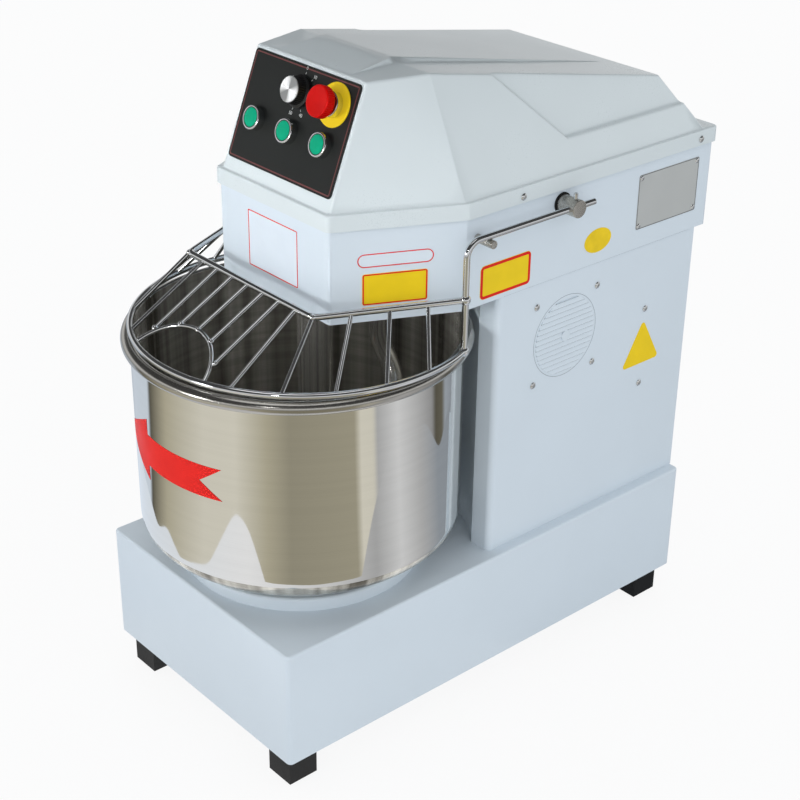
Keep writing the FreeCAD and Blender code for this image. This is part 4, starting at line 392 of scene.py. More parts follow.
def screw_head(face, place, radius, rings=14, segments=48):
    """A domed head with a cross recess.

    The height over the face falls with the square of the distance from the middle, and drops
    where a point lies within either arm of the cross.
    """
    dome, rim, drop = 0.62 * radius, 0.22 * radius, 0.3 * radius
    arm, reach, soft = 0.15, 0.58, 0.06
    share = np.linspace(1, 0, rings + 1)[:, None]
    angle = np.linspace(0, TURN, segments, endpoint=False)[None]
    first, second = share * np.cos(angle), share * np.sin(angle)

    def within(value, limit):
        return np.clip((limit - np.abs(value)) / soft + 0.5, 0, 1)

    arms = [within(one, arm) * within(other, reach) for one, other in ((first, second), (second, first))]
    height = dome - (dome - rim) * share**2 - drop * np.maximum(*arms)
    flat = np.stack([first, second], axis=2) * radius + np.asarray(place)
    top = on_face(face, flat, height[..., None])
    foot = on_face(face, flat[:1], 0)
    hub = np.repeat(on_face(face, np.asarray(place), 0)[None, None], segments, axis=1)
    return np.concatenate([hub, foot, top]), False, True


# Materials

MIX_A, MIX_B, MIX_RESULT = 6, 7, 2
FINISH_OUTPUTS = {"Color": ("Colour",), "Float": ("Roughness", "Height")}
COAT_SPREAD, COAT_GLOSS, COAT_DEPTH = (0.3, 0.7), (0.7, 1.3), 0.0005
LINE_SPREAD, LINE_GLOSS, LINE_DEPTH = (0.75, 1.25), (1.2, 1.8), 0.0003
HANDLING_SCALE = 9.0
# Inside the bowl: softer gloss, a smaller share of metal and the factor for its dark lines; its streaks are
# painted reflections
LINING_GLOSS, LINING_METAL, LINING_SHADE = 0.2, 0.66, 0.8
STREAK_SCALE, STREAK_DETAIL, STREAK_ROUGH, STREAK_SPREAD = 3.6, 4.0, 0.6, (0.38, 0.66)
# Wedges of painted sheen on the knob's face: their metal share, edge and gloss
WEDGE_METAL, WEDGE_EDGE, WEDGE_GLOSS = 0.25, 0.6, (0.38, 0.26)


def node(tree, kind, inputs=(), **settings):
    """A shader node with its settings, and each input either linked or set."""
    made = tree.nodes.new(kind)
    for key, value in settings.items():
        setattr(made, key, value)
    for key, value in dict(inputs).items():
        if isinstance(value, bpy.types.NodeSocket):
            tree.links.new(value, made.inputs[key])
        else:
            made.inputs[key].default_value = value
    return made


def place_of(tree, kind="Object"):
    """A point's place in its object, or another of its coordinates."""
    return node(tree, "ShaderNodeTexCoord").outputs[kind]


def part_of(tree, vector, axis):
    """One part of a vector."""
    return node(tree, "ShaderNodeSeparateXYZ", {0: vector}).outputs[axis]


def calc(tree, operation, *values):
    """The result of a sum or a comparison."""
    return node(tree, "ShaderNodeMath", dict(enumerate(values)), operation=operation).outputs[0]


def noise(tree, scale, detail, dimensions="3D", **inputs):
    """A noise by a vector, or along one measure."""
    sockets = {"Scale": scale, "Detail": detail, **inputs}
    return node(tree, "ShaderNodeTexNoise", sockets, noise_dimensions=dimensions).outputs[0]


def mapped(tree, value, low, high, start=0.0, end=1.0):
    """A value carried from one range to another."""
    ranges = {"Value": value, "From Min": low, "From Max": high, "To Min": start, "To Max": end}
    return node(tree, "ShaderNodeMapRange", ranges).outputs[0]


def mixed(tree, factor, first, second):
    """A colour between two colours."""
    sockets = {0: factor, MIX_A: first, MIX_B: second}
    return node(tree, "ShaderNodeMix", sockets, data_type="RGBA").outputs[MIX_RESULT]


def new_group(name, inputs):
    """An empty finish group: its tree, the sockets that it is given and those that it fills."""
    tree = bpy.data.node_groups.new(name, "ShaderNodeTree")
    for direction, sockets in (("INPUT", inputs), ("OUTPUT", FINISH_OUTPUTS)):
        for kind, labels in sockets.items():
            for label in labels:
                tree.interface.new_socket(name=label, in_out=direction, socket_type="NodeSocket" + kind)
    return tree, tree.nodes.new("NodeGroupInput").outputs, tree.nodes.new("NodeGroupOutput").inputs


def make_coat_group():
    """Coats and mouldings: broad patches drift the colour and gloss, and a fine grain gives the height."""
    numbers = ("Patch Scale", "Grain Scale", "Smooth", "Rough")
    inputs = {"Vector": ("Vector",), "Color": ("Light", "Dark"), "Float": numbers}
    tree, given, made = new_group("coat_variation", inputs)
    patch = noise(tree, given["Patch Scale"], 3.0, Vector=given["Vector"])
    grain = noise(tree, given["Grain Scale"], 2.0, Vector=given["Vector"])
    spread = mapped(tree, patch, *COAT_SPREAD)
    tree.links.new(mixed(tree, spread, given["Light"], given["Dark"]), made["Colour"])
    gloss = calc(tree, "ADD", patch, grain)
    rough = mapped(tree, gloss, *COAT_GLOSS, given["Smooth"], given["Rough"])
    tree.links.new(rough, made["Roughness"])
    tree.links.new(grain, made["Height"])


def make_line_group():
    """Turned metal: fine and broad lines along one measure, blurred by patches of handling."""
    numbers = ("Along", "Line Scale", "Band Scale", "Smooth", "Rough")
    inputs = {"Vector": ("Vector",), "Color": ("Light", "Dark"), "Float": numbers}
    tree, given, made = new_group("turned_lines", inputs)
    fine = noise(tree, given["Line Scale"], 2.0, "1D", W=given["Along"])
    band = noise(tree, given["Band Scale"], 1.0, "1D", W=given["Along"])
    patch = noise(tree, HANDLING_SCALE, 2.0, Vector=given["Vector"])
    lines = calc(tree, "ADD", fine, band)
    spread = mapped(tree, lines, *LINE_SPREAD)
    tree.links.new(mixed(tree, spread, given["Dark"], given["Light"]), made["Colour"])
    gloss = calc(tree, "ADD", lines, patch)
    rough = mapped(tree, gloss, *LINE_GLOSS, given["Smooth"], given["Rough"])
    tree.links.new(rough, made["Roughness"])
    tree.links.new(lines, made["Height"])


def blank_tree(holder):
    """The emptied node tree of a material or a world."""
    holder.use_nodes = True
    holder.node_tree.nodes.clear()
    return holder.node_tree


def new_material(name, constants):
    """A material with a Principled shader whose constant sockets are set directly."""
    tree = blank_tree(bpy.data.materials.new(name + "_finish"))
    shader = node(tree, "ShaderNodeBsdfPrincipled", constants)
    node(tree, "ShaderNodeOutputMaterial", {"Surface": shader.outputs[0]})
    return tree, shader


def shade(colour, factor=1.0):
    """A colour for a socket, made lighter or darker."""
    return (*(min(1.0, value * factor) for value in colour), 1.0)


def connect_finish(tree, shader, group_name, values, gloss, bump, depth):
    """Feeds the colour, gloss and height of a finish group to the shader."""
    values = {**values, "Smooth": gloss[0], "Rough": gloss[1]}
    made = node(tree, "ShaderNodeGroup", values, node_tree=bpy.data.node_groups[group_name]).outputs
    tree.links.new(made["Colour"], shader.inputs["Base Color"])
    tree.links.new(made["Roughness"], shader.inputs["Roughness"])
    relief = {"Height": made["Height"], "Strength": bump, "Distance": depth}
    tree.links.new(node(tree, "ShaderNodeBump", relief).outputs[0], shader.inputs["Normal"])


def coated(name, colour, drift, gloss, grain, bump, patch=7.0, **constants):
    """A coat or moulding whose colour drifts a little and whose gloss lies between two values."""
    tree, shader = new_material(name, constants)
    tones = {"Light": shade(colour), "Dark": shade(colour, 1 - drift)}
    values = {"Vector": place_of(tree), **tones, "Patch Scale": patch, "Grain Scale": grain}
    connect_finish(tree, shader, "coat_variation", values, gloss, bump, COAT_DEPTH)


def streaks(tree, way):
    """Upright streaks of painted reflection round an axis: noise by the direction from the axis alone."""
    ahead = node(tree, "ShaderNodeVectorMath", {0: way}, operation="NORMALIZE").outputs[0]
    grain = noise(tree, STREAK_SCALE, STREAK_DETAIL, Vector=ahead, Roughness=STREAK_ROUGH)
    return mapped(tree, grain, *STREAK_SPREAD)


def turned(name, colour, contrast, gloss, lines, bands, bump, painted_reflections=None):
    """Turned metal with lines at constant height.

    Painted reflections given as (centre, radius, height, bead, dark, light) give light and dark upright
    streaks of painted reflection and a softer gloss to points nearer to an upright axis, and points above
    the height get the bead's darker tone, a painted shade, and the softer gloss.
    """
    tree, shader = new_material(name, {"Metallic": 1.0})
    place = place_of(tree)
    rise = part_of(tree, place, "Z")
    light, dark = shade(colour), shade(colour, 1 - contrast)
    if painted_reflections:
        centre, limit, top, bead, *inner = painted_reflections
        flat = {"Vector": place, "Location": tuple(-centre), "Scale": (1.0, 1.0, 0.0)}
        way = node(tree, "ShaderNodeMapping", flat).outputs[0]
        reach = node(tree, "ShaderNodeVectorMath", {0: way}, operation="LENGTH").outputs["Value"]
        within = calc(tree, "LESS_THAN", reach, limit)
        above = calc(tree, "GREATER_THAN", rise, top)
        share = streaks(tree, way)
        # Points above the height take the bead's darker tone: painted shade, beside the bead's real softer gloss
        light, dark = (mixed(tree, above, tone, shade(bead)) for tone in (light, dark))
        # Within the radius, light and dark upright streaks are painted reflections on the inner wall
        pale, deep = ([shade(tone, factor) for tone in inner] for factor in (1.0, LINING_SHADE))
        light = mixed(tree, within, light, mixed(tree, share, *pale))
        dark = mixed(tree, within, dark, mixed(tree, share, *deep))
        soft = calc(tree, "MAXIMUM", within, above)
        gloss = [mapped(tree, soft, 0.0, 1.0, outer, LINING_GLOSS) for outer in gloss]
        tree.links.new(mapped(tree, within, 0.0, 1.0, 1.0, LINING_METAL), shader.inputs["Metallic"])
    values = {"Along": rise, "Vector": place, "Light": light, "Dark": dark}
    values.update({"Line Scale": lines, "Band Scale": bands})
    connect_finish(tree, shader, "turned_lines", values, gloss, bump, LINE_DEPTH)


def painted_sheen_disc(name, light, dark, highlight_degrees):
    """A turned disc with painted sheen: light wedges of painted highlight and dark wedges of painted shade go
    round with the sine of twice the angle along U.
    """
    tree, shader = new_material(name, {"Metallic": WEDGE_METAL})
    start = TURN / 4 - math.radians(2 * highlight_degrees)
    around = part_of(tree, place_of(tree, "UV"), "X")
    angle = mapped(tree, around, 0.0, 1.0, start, start + 2 * TURN)
    wave = calc(tree, "SINE", angle)
    share = mapped(tree, wave, -WEDGE_EDGE, WEDGE_EDGE)
    tree.links.new(mixed(tree, share, shade(dark), shade(light)), shader.inputs["Base Color"])
    tree.links.new(mapped(tree, wave, -1.0, 1.0, *WEDGE_GLOSS), shader.inputs["Roughness"])


class MixerFinishes(bpy.types.Operator):
    """Make every finish and put the right one on each node of the frame"""

    bl_idname = "mixer.finishes"
    bl_label = "Finishes"

    def execute(self, context):
        colours = context.scene.mixer_colours
        make_coat_group()
        make_line_group()
        coated("white_paint", colours.paint, 0.03, (0.3, 0.42), 900.0, 0.05, **{"Coat Weight": 0.12})
        coated("cover_shell", colours.cover, 0.03, (0.26, 0.36), 600.0, 0.04, **{"Coat Weight": 0.2})
        coated("black_rubber", colours.rubber, 0.35, (0.6, 0.8), 1800.0, 0.3)
        coated("black_plastic", colours.plastic, 0.25, (0.28, 0.4), 1500.0, 0.08)
        matt, dull = {"Specular IOR Level": 0.25}, {"Specular IOR Level": 0.08}
        coated("panel_sheet", colours.panel, 0.12, (0.38, 0.5), 2500.0, 0.08, **matt)
        coated("green_plastic", colours.green, 0.12, (0.3, 0.42), 1200.0, 0.06, patch=60.0, **dull)
        coated("red_plastic", colours.red, 0.12, (0.28, 0.4), 1200.0, 0.06, patch=60.0, **dull)
        coated("yellow_plastic", colours.yellow, 0.08, (0.4, 0.5), 1200.0, 0.04, patch=40.0, **dull)
        coated("sign_yellow", colours.yellow, 0.08, (0.35, 0.5), 1500.0, 0.05, patch=30.0, **dull)
        coated("sign_gold", srgb(242, 208, 40), 0.15, (0.3, 0.45), 1500.0, 0.05, patch=60.0, **dull)
        coated("sign_red", colours.sign_red, 0.1, (0.35, 0.5), 1500.0, 0.05, patch=30.0, **dull)
        coated("sign_white", srgb(217, 227, 236), 0.03, (0.35, 0.5), 1500.0, 0.05, patch=30.0)
        coated("panel_line", srgb(112, 52, 50), 0.2, (0.4, 0.5), 2500.0, 0.05)
        coated("panel_print", srgb(205, 208, 206), 0.1, (0.4, 0.5), 2500.0, 0.05)
        # Painted shade: the shadow strips under the head and the line round the grille's edge
        coated("seam_shade", srgb(160, 171, 180), 0.15, (0.5, 0.6), 900.0, 0.02)
        # Painted shade in the grille's slots under the hoods
        coated("slot_shade", srgb(112, 121, 128), 0.15, (0.5, 0.6), 900.0, 0.02)
        coated("plate_line", srgb(118, 121, 122), 0.15, (0.4, 0.5), 900.0, 0.02)
        coated("zinc", srgb(234, 236, 237), 0.12, (0.12, 0.2), 900.0, 0.03, Metallic=1.0)
        coated("pivot_steel", srgb(184, 181, 174), 0.15, (0.22, 0.34), 900.0, 0.06, Metallic=0.85)
        coated("hook_steel", srgb(240, 238, 232), 0.06, (0.12, 0.18), 900.0, 0.02, Metallic=0.86)
        coated("cast_housing", srgb(120, 124, 128), 0.25, (0.45, 0.65), 700.0, 0.3, Metallic=0.7)
        coated("motor_aluminium", srgb(150, 153, 156), 0.2, (0.4, 0.6), 800.0, 0.25, Metallic=0.8)
        coated("steel", srgb(150, 150, 148), 0.2, (0.3, 0.45), 900.0, 0.1, Metallic=1.0)
        coated("bright_chrome", colours.chrome, 0.08, (0.07, 0.14), 300.0, 0.02, Metallic=1.0)
        coated("plate_metal", colours.plate, 0.1, (0.32, 0.45), 1500.0, 0.06, Metallic=0.35)
        sizes = context.scene.mixer_sizes
        wall_middle = BOWL_RIM_R - sizes.bead_overhang - sizes.bowl_wall / 2
        bead_low = BOWL_HIGH[2] - 2 * sizes.bead_radius
        # Painted shade and reflections: the bead's darker tone, then the dark and light tones of the painted
        # reflection streaks inside the bowl
        tones = srgb(182, 180, 175), srgb(90, 85, 74), srgb(255, 252, 242)
        painted_reflections = (BOWL_CENTRE, wall_middle, bead_low, *tones)
        turned("polished_stainless", colours.stainless, 0.03, (0.03, 0.05), 900.0, 90.0, 0.003, painted_reflections)
        turned("satin_stainless", colours.stainless, 0.05, (0.12, 0.2), 1200.0, 200.0, 0.01)
        # The knob's face: light and dark wedges of painted sheen in place of the sheen of spun metal
        painted_sheen_disc("knob_metal", srgb(255, 255, 255), srgb(140, 141, 140), 150.0)
        for name, cad_node in frame["nodes"].items():
            cad_node.data.materials.clear()
            cad_node.data.materials.append(finish(SLOTS[name]))
        return {"FINISHED"}


class MixerShells(bpy.types.Operator):
    """Give the sheet housings, the cover and the feet smooth shading on merged copies"""

    bl_idname = "mixer.shells"
    bl_label = "Housings and cover"

    NODES = ("base_housing", "column_housing", "head_casing", "top_cover", "feet", "column_back_panel")

    def execute(self, context):
        for name in self.NODES:
            mesh = frame["nodes"][name].data.copy()
            mesh.name = name + "_shell"
            mesh.materials.clear()
            tidy_mesh(mesh, turn_out=False)
            shell = dress(mesh.name, mesh, SLOTS[name], name)
            weights = shell.modifiers.new("flat_faces", "WEIGHTED_NORMAL")
            weights.weight = 100
            weights.keep_sharp = True
        return {"FINISHED"}


class MixerBowl(bpy.types.Operator):
    """Build the turned bowl with its rolled bead and the collar under it"""

    bl_idname = "mixer.bowl"
    bl_label = "Bowl and seat collar"

    COLLAR_BORE = 0.066
    COLLAR_EDGE = 0.004

    def execute(self, context):
        sizes = context.scene.mixer_sizes
        wall_r = BOWL_RIM_R - sizes.bead_overhang
        bead_r = BOWL_RIM_R - sizes.bead_radius
        floor_z, bead_z = BOWL_LOW[2], BOWL_HIGH[2] - sizes.bead_radius
        outside = rounded([(0, floor_z), (wall_r, floor_z), (wall_r, bead_z)], sizes.bowl_corner, 16)
        inner_r, inner_z = wall_r - sizes.bowl_wall, floor_z + sizes.bowl_wall
        ends = np.arccos((np.array([wall_r, inner_r]) - bead_r) / sizes.bead_radius)
        bead_turn = np.linspace(-ends[0], ends[1], 22)
        bead = arc(sizes.bead_radius, bead_turn, (bead_r, bead_z))
        inner_corner = sizes.bowl_corner - sizes.bowl_wall
        inside = rounded([(inner_r, bead_z), (inner_r, inner_z), (0, inner_z)], inner_corner, 16)
        profile = np.concatenate([outside[:-1], bead, inside[1:]])
        spun = lathe(profile, BOWL_CENTRE, segments=192)
        add_piece("bowl_spun", [spun], "polished_stainless", "bowl")

        collar_r = (COLLAR_HIGH[0] - COLLAR_LOW[0]) / 2
        low, high = COLLAR_LOW[2], COLLAR_HIGH[2]
        section = oblong(self.COLLAR_BORE, collar_r, low, high)
        ring = washer(section, [0, 0, self.COLLAR_EDGE, 0], BOWL_CENTRE, Z_AXIS, 128)
        add_piece("seat_collar", [ring], "white_paint", "bowl_seat_collar")
        return {"FINISHED"}


class MixerArrow(bpy.types.Operator):
    """Lay the turning arrow on the bowl's wall"""

    bl_idname = "mixer.arrow"
    bl_label = "Turning arrow"

    START_DEG, END_DEG, HEAD_DEG = -64.0, -100.0, -124.0
    LEVEL, HALF_WIDTH, HEAD_HALF, NOTCH = 0.395, 0.0205, 0.0408, 0.24
    PROUD = 0.0002

    def execute(self, context):
        wall_r = BOWL_RIM_R - context.scene.mixer_sizes.bead_overhang
        band = np.linspace(-1, 1, 13)

        def on_wall(degrees, height, lift):
            """A point of the wall by its angle from +X and its height."""
            return BOWL_CENTRE + (wall_r + lift) * level_way(degrees) + height[..., None] * Z_AXIS

        share = np.linspace(0, 1, 33)[:, None]
        notch = self.NOTCH * (1 - np.abs(band))
        tail = self.START_DEG + (self.END_DEG - self.START_DEG) * (notch + (1 - notch) * share)
        tail_z = self.LEVEL + self.HALF_WIDTH * band * np.ones_like(share)
        point = self.END_DEG + (self.HEAD_DEG - self.END_DEG) * share * np.ones_like(band)
        point_z = self.LEVEL + self.HEAD_HALF * band * (1 - share)
        patches = []
        for degrees, height in ((tail, tail_z), (point, point_z)):
            ends = np.where((share == 0) | (share == 1), self.PROUD, 0)[..., None]
            lifts = (np.maximum(self.PROUD / 4, ends), self.PROUD)
            sheets = [on_wall(degrees, height, lift) for lift in lifts]
            patches.append((np.concatenate([sheets[0], sheets[1][:, ::-1]], axis=1), False, True))
        add_piece("turning_arrow", patches, "sign_red", body="bowl")
        return {"FINISHED"}


class MixerTools(bpy.types.Operator):
    """Build the spiral hook and the breaker bar"""

    bl_idname = "mixer.tools"
    bl_label = "Hook and breaker bar"

    FLANGE_HEIGHT = 0.010
    SHANK = 0.052
    SPREAD, START_DEG, TURN_DEG = 0.42, 78.0, -330.0
    BAR_TOE, BAR_FLANGE_HEIGHT, BAR_NECK = 0.006, 0.008, 0.003

    def execute(self, context):
        sizes = context.scene.mixer_sizes
        flange_z = HOOK_JOINT_Z - self.FLANGE_HEIGHT
        top = flange_z - self.SHANK
        low = HOOK_LOW_Z + sizes.hook_rod
        share = np.linspace(0, 1, 181)
        spread = np.minimum(1, share / self.SPREAD)
        radius = (sizes.hook_sweep - sizes.hook_rod) * spread**2 * (3 - 2 * spread)
        outward = level_way(self.START_DEG + self.TURN_DEG * share)
        level = top - (top - low) * np.sin(share * TURN / 4)
        winding = HOOK_CENTRE + radius[:, None] * outward + level[:, None] * Z_AXIS
        path = np.concatenate([[HOOK_CENTRE + flange_z * Z_AXIS], winding])
        across = np.concatenate([outward[:1], outward])
        flange = oblong(0, sizes.hook_flange, flange_z, HOOK_JOINT_Z)
        edge = sizes.spoke_radius / 3
        patches = [
            tube(path, sizes.hook_rod, across, 32),
            blob(path[-1], sizes.hook_rod, 32),
            lathe(rounded(flange, edge), HOOK_CENTRE),
        ]
        add_piece("hook_bar", patches, "hook_steel", "spiral_hook")

        bar_low, bar_high = BAR_LOW[2], BAR_HIGH[2]
        flange_r = (BAR_HIGH[0] - BAR_LOW[0]) / 2
        neck_z = bar_high - self.BAR_FLANGE_HEIGHT
        section = stepped(sizes.bar_radius, flange_r, bar_low, neck_z, bar_high)
        bar = lathe(rounded(section, [self.BAR_TOE, self.BAR_NECK, edge, 0]), BAR_CENTRE)
        add_piece("bar_turned", [bar], "hook_steel", "breaker_bar")
        return {"FINISHED"}


class MixerGuard(bpy.types.Operator):
    """Build the wire guard: ring, arms, inner frame, feed arch, spokes and their welds"""

    bl_idname = "mixer.guard"
    bl_label = "Wire guard"

    END_DEG = 22.7
    ARM_BEND, FRAME_BEND = 0.018, 0.012
    FRAME_HALF = 0.1175
    FRONT_SPOKES, SIDE_SPOKES = 7, 3
    FIRST_SPOKE_DEG, SPOKE_STEP_DEG = 61.9, 16.4
    ARCH_HALF, ARCH_DEPTH = 0.067, 0.060
    WELD = 1.6

    def execute(self, context):
        sizes = context.scene.mixer_sizes
        rod, spoke = sizes.rod_radius, sizes.spoke_radius
        ring_r = (RING_HIGH[0] - RING_LOW[0]) / 2 - rod
        ring_centre = np.array([0, RING_LOW[1] + rod + ring_r, (RING_LOW[2] + RING_HIGH[2]) / 2])
        frame_y = FRAME_LOW[1] + rod
        frame_z = (FRAME_LOW[2] + FRAME_HIGH[2]) / 2

        def ring_point(degrees):
            """A point of the ring by its angle from +X."""
            return ring_centre + ring_r * level_way(degrees)

        def arch_point(x, depth):
            """A point on the slope from the ring's front up to the frame's front rod."""
            x, depth = np.broadcast_arrays(np.asarray(x, float), np.asarray(depth, float))
            front_y = ring_centre[1] - np.sqrt(ring_r**2 - x**2)
            start = np.stack([x, front_y, np.full_like(x, ring_centre[2])], axis=-1)
            end = np.stack([x, np.full_like(x, frame_y), np.full_like(x, frame_z)], axis=-1)
            return start + unit(end - start) * depth[..., None]

        def add(name, patches, node_name):
            add_piece(name, patches, "bright_chrome", node_name, slot="bright_chrome")

        ring_path = ring_point(np.linspace(self.END_DEG, -180 - self.END_DEG, 145))
        add("guard_ring_rod", [tube(ring_path, rod, Z_AXIS, 24)], "guard_ring")

        feet = [ring_path[-1], ring_path[0]]
        arms = []
        for foot in feet:
            knee = np.array([foot[0], foot[1], GUARD_PIVOT[2]])
            tail = np.array([foot[0], ARM_HIGH[1], GUARD_PIVOT[2]])
            arms.append(tube(rounded([foot, knee, tail], self.ARM_BEND, 12), rod, X_AXIS, 24))
        welds = [blob(foot, rod * self.WELD) for foot in feet]
        add("guard_arm_rods", arms + welds, "guard_arms")

        corners = [(-self.FRAME_HALF, frame_y, frame_z), (self.FRAME_HALF, frame_y, frame_z)]
        ends = [np.array([foot[0], foot[1], frame_z]) for foot in feet]
        frame_path = rounded([ends[0], *corners, ends[1]], self.FRAME_BEND, 12)
        welds = [blob(end, rod * self.WELD) for end in ends]
        add("guard_frame_rod", [tube(frame_path, rod, Z_AXIS, 24), *welds], "guard_frame")

        start, crown = arch_point(-self.ARCH_HALF, 0), arch_point(0, self.ARCH_DEPTH)
        middle, rise = start * (0, 1, 1), crown - start * (0, 1, 1)
        rise_length = np.linalg.norm(rise)
        arch_r = (self.ARCH_HALF**2 + rise_length**2) / (2 * rise_length)
        centre = middle + unit(rise) * (rise_length - arch_r)
        half_turn = math.atan2(self.ARCH_HALF, arch_r - rise_length)
        swing = np.linspace(-half_turn, half_turn, 61)[:, None]
        arch_path = centre + arch_r * (np.sin(swing) * X_AXIS + np.cos(swing) * unit(rise))
        welds = [blob(end, spoke * self.WELD) for end in arch_path[[0, -1]]]
        arch = tube(arch_path, spoke, np.cross(X_AXIS, unit(rise)))
        add("guard_arch_rod", [arch, *welds], "guard_feed_arch")

        pitch = 2 * self.FRAME_HALF / (self.FRONT_SPOKES + 1)
        lines = []
        for step in range(1, self.FRONT_SPOKES + 1):
            x = pitch * step - self.FRAME_HALF
            if abs(x) < self.ARCH_HALF:
                depth = self.ARCH_DEPTH * math.sqrt(1 - (x / self.ARCH_HALF) ** 2)
                lines.append((np.array([x, frame_y, frame_z]), arch_point(x, depth)))
        for side in SIDES:
            flip = np.array([side, 1, 1])
            tops = [np.array([self.FRAME_HALF - pitch, frame_y, frame_z])]
            for step in range(self.SIDE_SPOKES + 1):
                share = step / (self.SIDE_SPOKES + 1)
                tops.append(np.array(corners[1]) * (1 - share) + ends[1] * share)
            for step, top in enumerate(tops):
                landing = ring_point(step * self.SPOKE_STEP_DEG - self.FIRST_SPOKE_DEG)
                lines.append((top * flip, landing * flip))
        patches = []
        for top, landing in lines:
            patches.append(tube([top, landing], spoke, X_AXIS, 16))
            patches += [blob(end, spoke * self.WELD) for end in (top, landing)]
        add("guard_spoke_rods", patches, "guard_spokes")
        return {"FINISHED"}


class MixerPivots(bpy.types.Operator):
    """Build the guard's pivot bosses, bushes, set screws and stop pins"""

    bl_idname = "mixer.pivots"
    bl_label = "Guard pivots"

    BUSH_FLANGE_R, BUSH_FLANGE, BUSH_BORE = 0.013, 0.002, 0.00805
    STUB_R, EDGE = 0.008, 0.0012
    SCREW_R, SCREW_START, SCREW_TOP, SOCKET_DEPTH = 0.0026, 0.004, 0.018, 0.0026
    PIN_R = 0.005

    def execute(self, context):
        sizes = context.scene.mixer_sizes
        boss_end = extent("guard_pivots")[1][0]
        boss_start = HEAD_HIGH[0] + self.BUSH_FLANGE + self.EDGE / 4
        pin_low, pin_high = extent("guard_stop_pins")
        pin_middle = (pin_low + pin_high) / 2 * (0, 1, 1)
        arm_x = ARM_HIGH[0] - sizes.rod_radius
        centre = GUARD_PIVOT * (0, 1, 1)
        wall = HEAD_HIGH[0]
        socket = self.SCREW_TOP - self.SOCKET_DEPTH
        boss = stepped(self.STUB_R, sizes.boss_radius, wall - self.STUB_R, boss_start, boss_end)
        bush = oblong(self.BUSH_BORE, self.BUSH_FLANGE_R, wall, wall + self.BUSH_FLANGE)
        screw = stepped(self.SCREW_R, self.SCREW_R / 2, self.SCREW_START, self.SCREW_TOP, socket)
        pin = oblong(0, self.PIN_R, wall, pin_high[0])
        boss = rounded(boss, [0, 0, self.EDGE / 3, self.EDGE])
        screw = rounded(screw, [0, self.EDGE / 4, 0, 0])
        pin = rounded(pin, [0, self.EDGE])
        ways = [side * X_AXIS for side in SIDES]
        bosses = [lathe(boss, centre, out, 64) for out in ways]
        bushes = [washer(bush, [0, 0, self.EDGE / 2, 0], centre, out, 64) for out in ways]
        screws = [lathe(screw, centre + arm_x * out, segments=32) for out in ways]
        pins = [lathe(pin, pin_middle, out, 48) for out in ways]
        add_piece("pivot_bosses", bosses, "pivot_steel", "guard_pivots")
        add_piece("pivot_bushes", bushes, "black_rubber", "guard_pivot_bushes")
        add_piece("pivot_screws", screws, "bright_chrome", "guard_set_screws")
        add_piece("stop_pins", pins, "pivot_steel", "guard_stop_pins")
        return {"FINISHED"}


class MixerButtons(bpy.types.Operator):
    """Build the three green buttons with their bright bezels"""

    bl_idname = "mixer.buttons"
    bl_label = "Buttons"

    SEAT = 0.0015
    BEZEL_R, BEZEL_TOP, BEZEL_EDGE = 0.0142, 0.0115, 0.0012
    CAP_R, CAP_FOOT, CAP_TOP, CAP_CROWN = 0.0112, 0.0076, 0.0121, 0.0005
    GAP_R = 0.0122

    def execute(self, context):
        bezels, gaps = [], []
        gap_top = self.BEZEL_TOP + self.CAP_CROWN / 5
        for name in BUTTON_NODES:
            low, high = extent(name)
            offset = (low + high) / 2 - DIAL
            centre = DIAL + (offset @ X_AXIS) * X_AXIS + (offset @ PANEL_UP) * PANEL_UP
            bore = self.CAP_R + self.CAP_CROWN / 10
            bezel = oblong(bore, self.BEZEL_R, self.SEAT, self.BEZEL_TOP)
            edges = [0, 0, self.BEZEL_EDGE, self.BEZEL_EDGE / 3]
            bezels.append(washer(bezel, edges, centre, PANEL_OUT))
            crown = np.linspace(1, 0, 9)[:, None]
            edge_r = self.CAP_R - self.BEZEL_EDGE / 2
            top = np.hstack([edge_r * crown, self.CAP_TOP - self.CAP_CROWN * crown**2])
            wall_top = self.CAP_TOP - self.BEZEL_EDGE
            side = [(0, self.CAP_FOOT), (self.CAP_R, self.CAP_FOOT), (self.CAP_R, wall_top)]
            cap = lathe(np.concatenate([side, top]), centre, PANEL_OUT)
            add_piece(name + "_cap", [cap], "green_plastic", name)
            # A black ring over the bezel's inner lip: painted shade in the gap round each cap
            gap = oblong(bore, self.GAP_R, self.BEZEL_TOP, gap_top)
            gaps.append(lathe(gap, centre, PANEL_OUT, closed=True))
        add_piece("bezel_gap_shade", gaps, "black_plastic")
        add_piece("bezel_rings", bezels, "bright_chrome", "button_bezels")
        return {"FINISHED"}


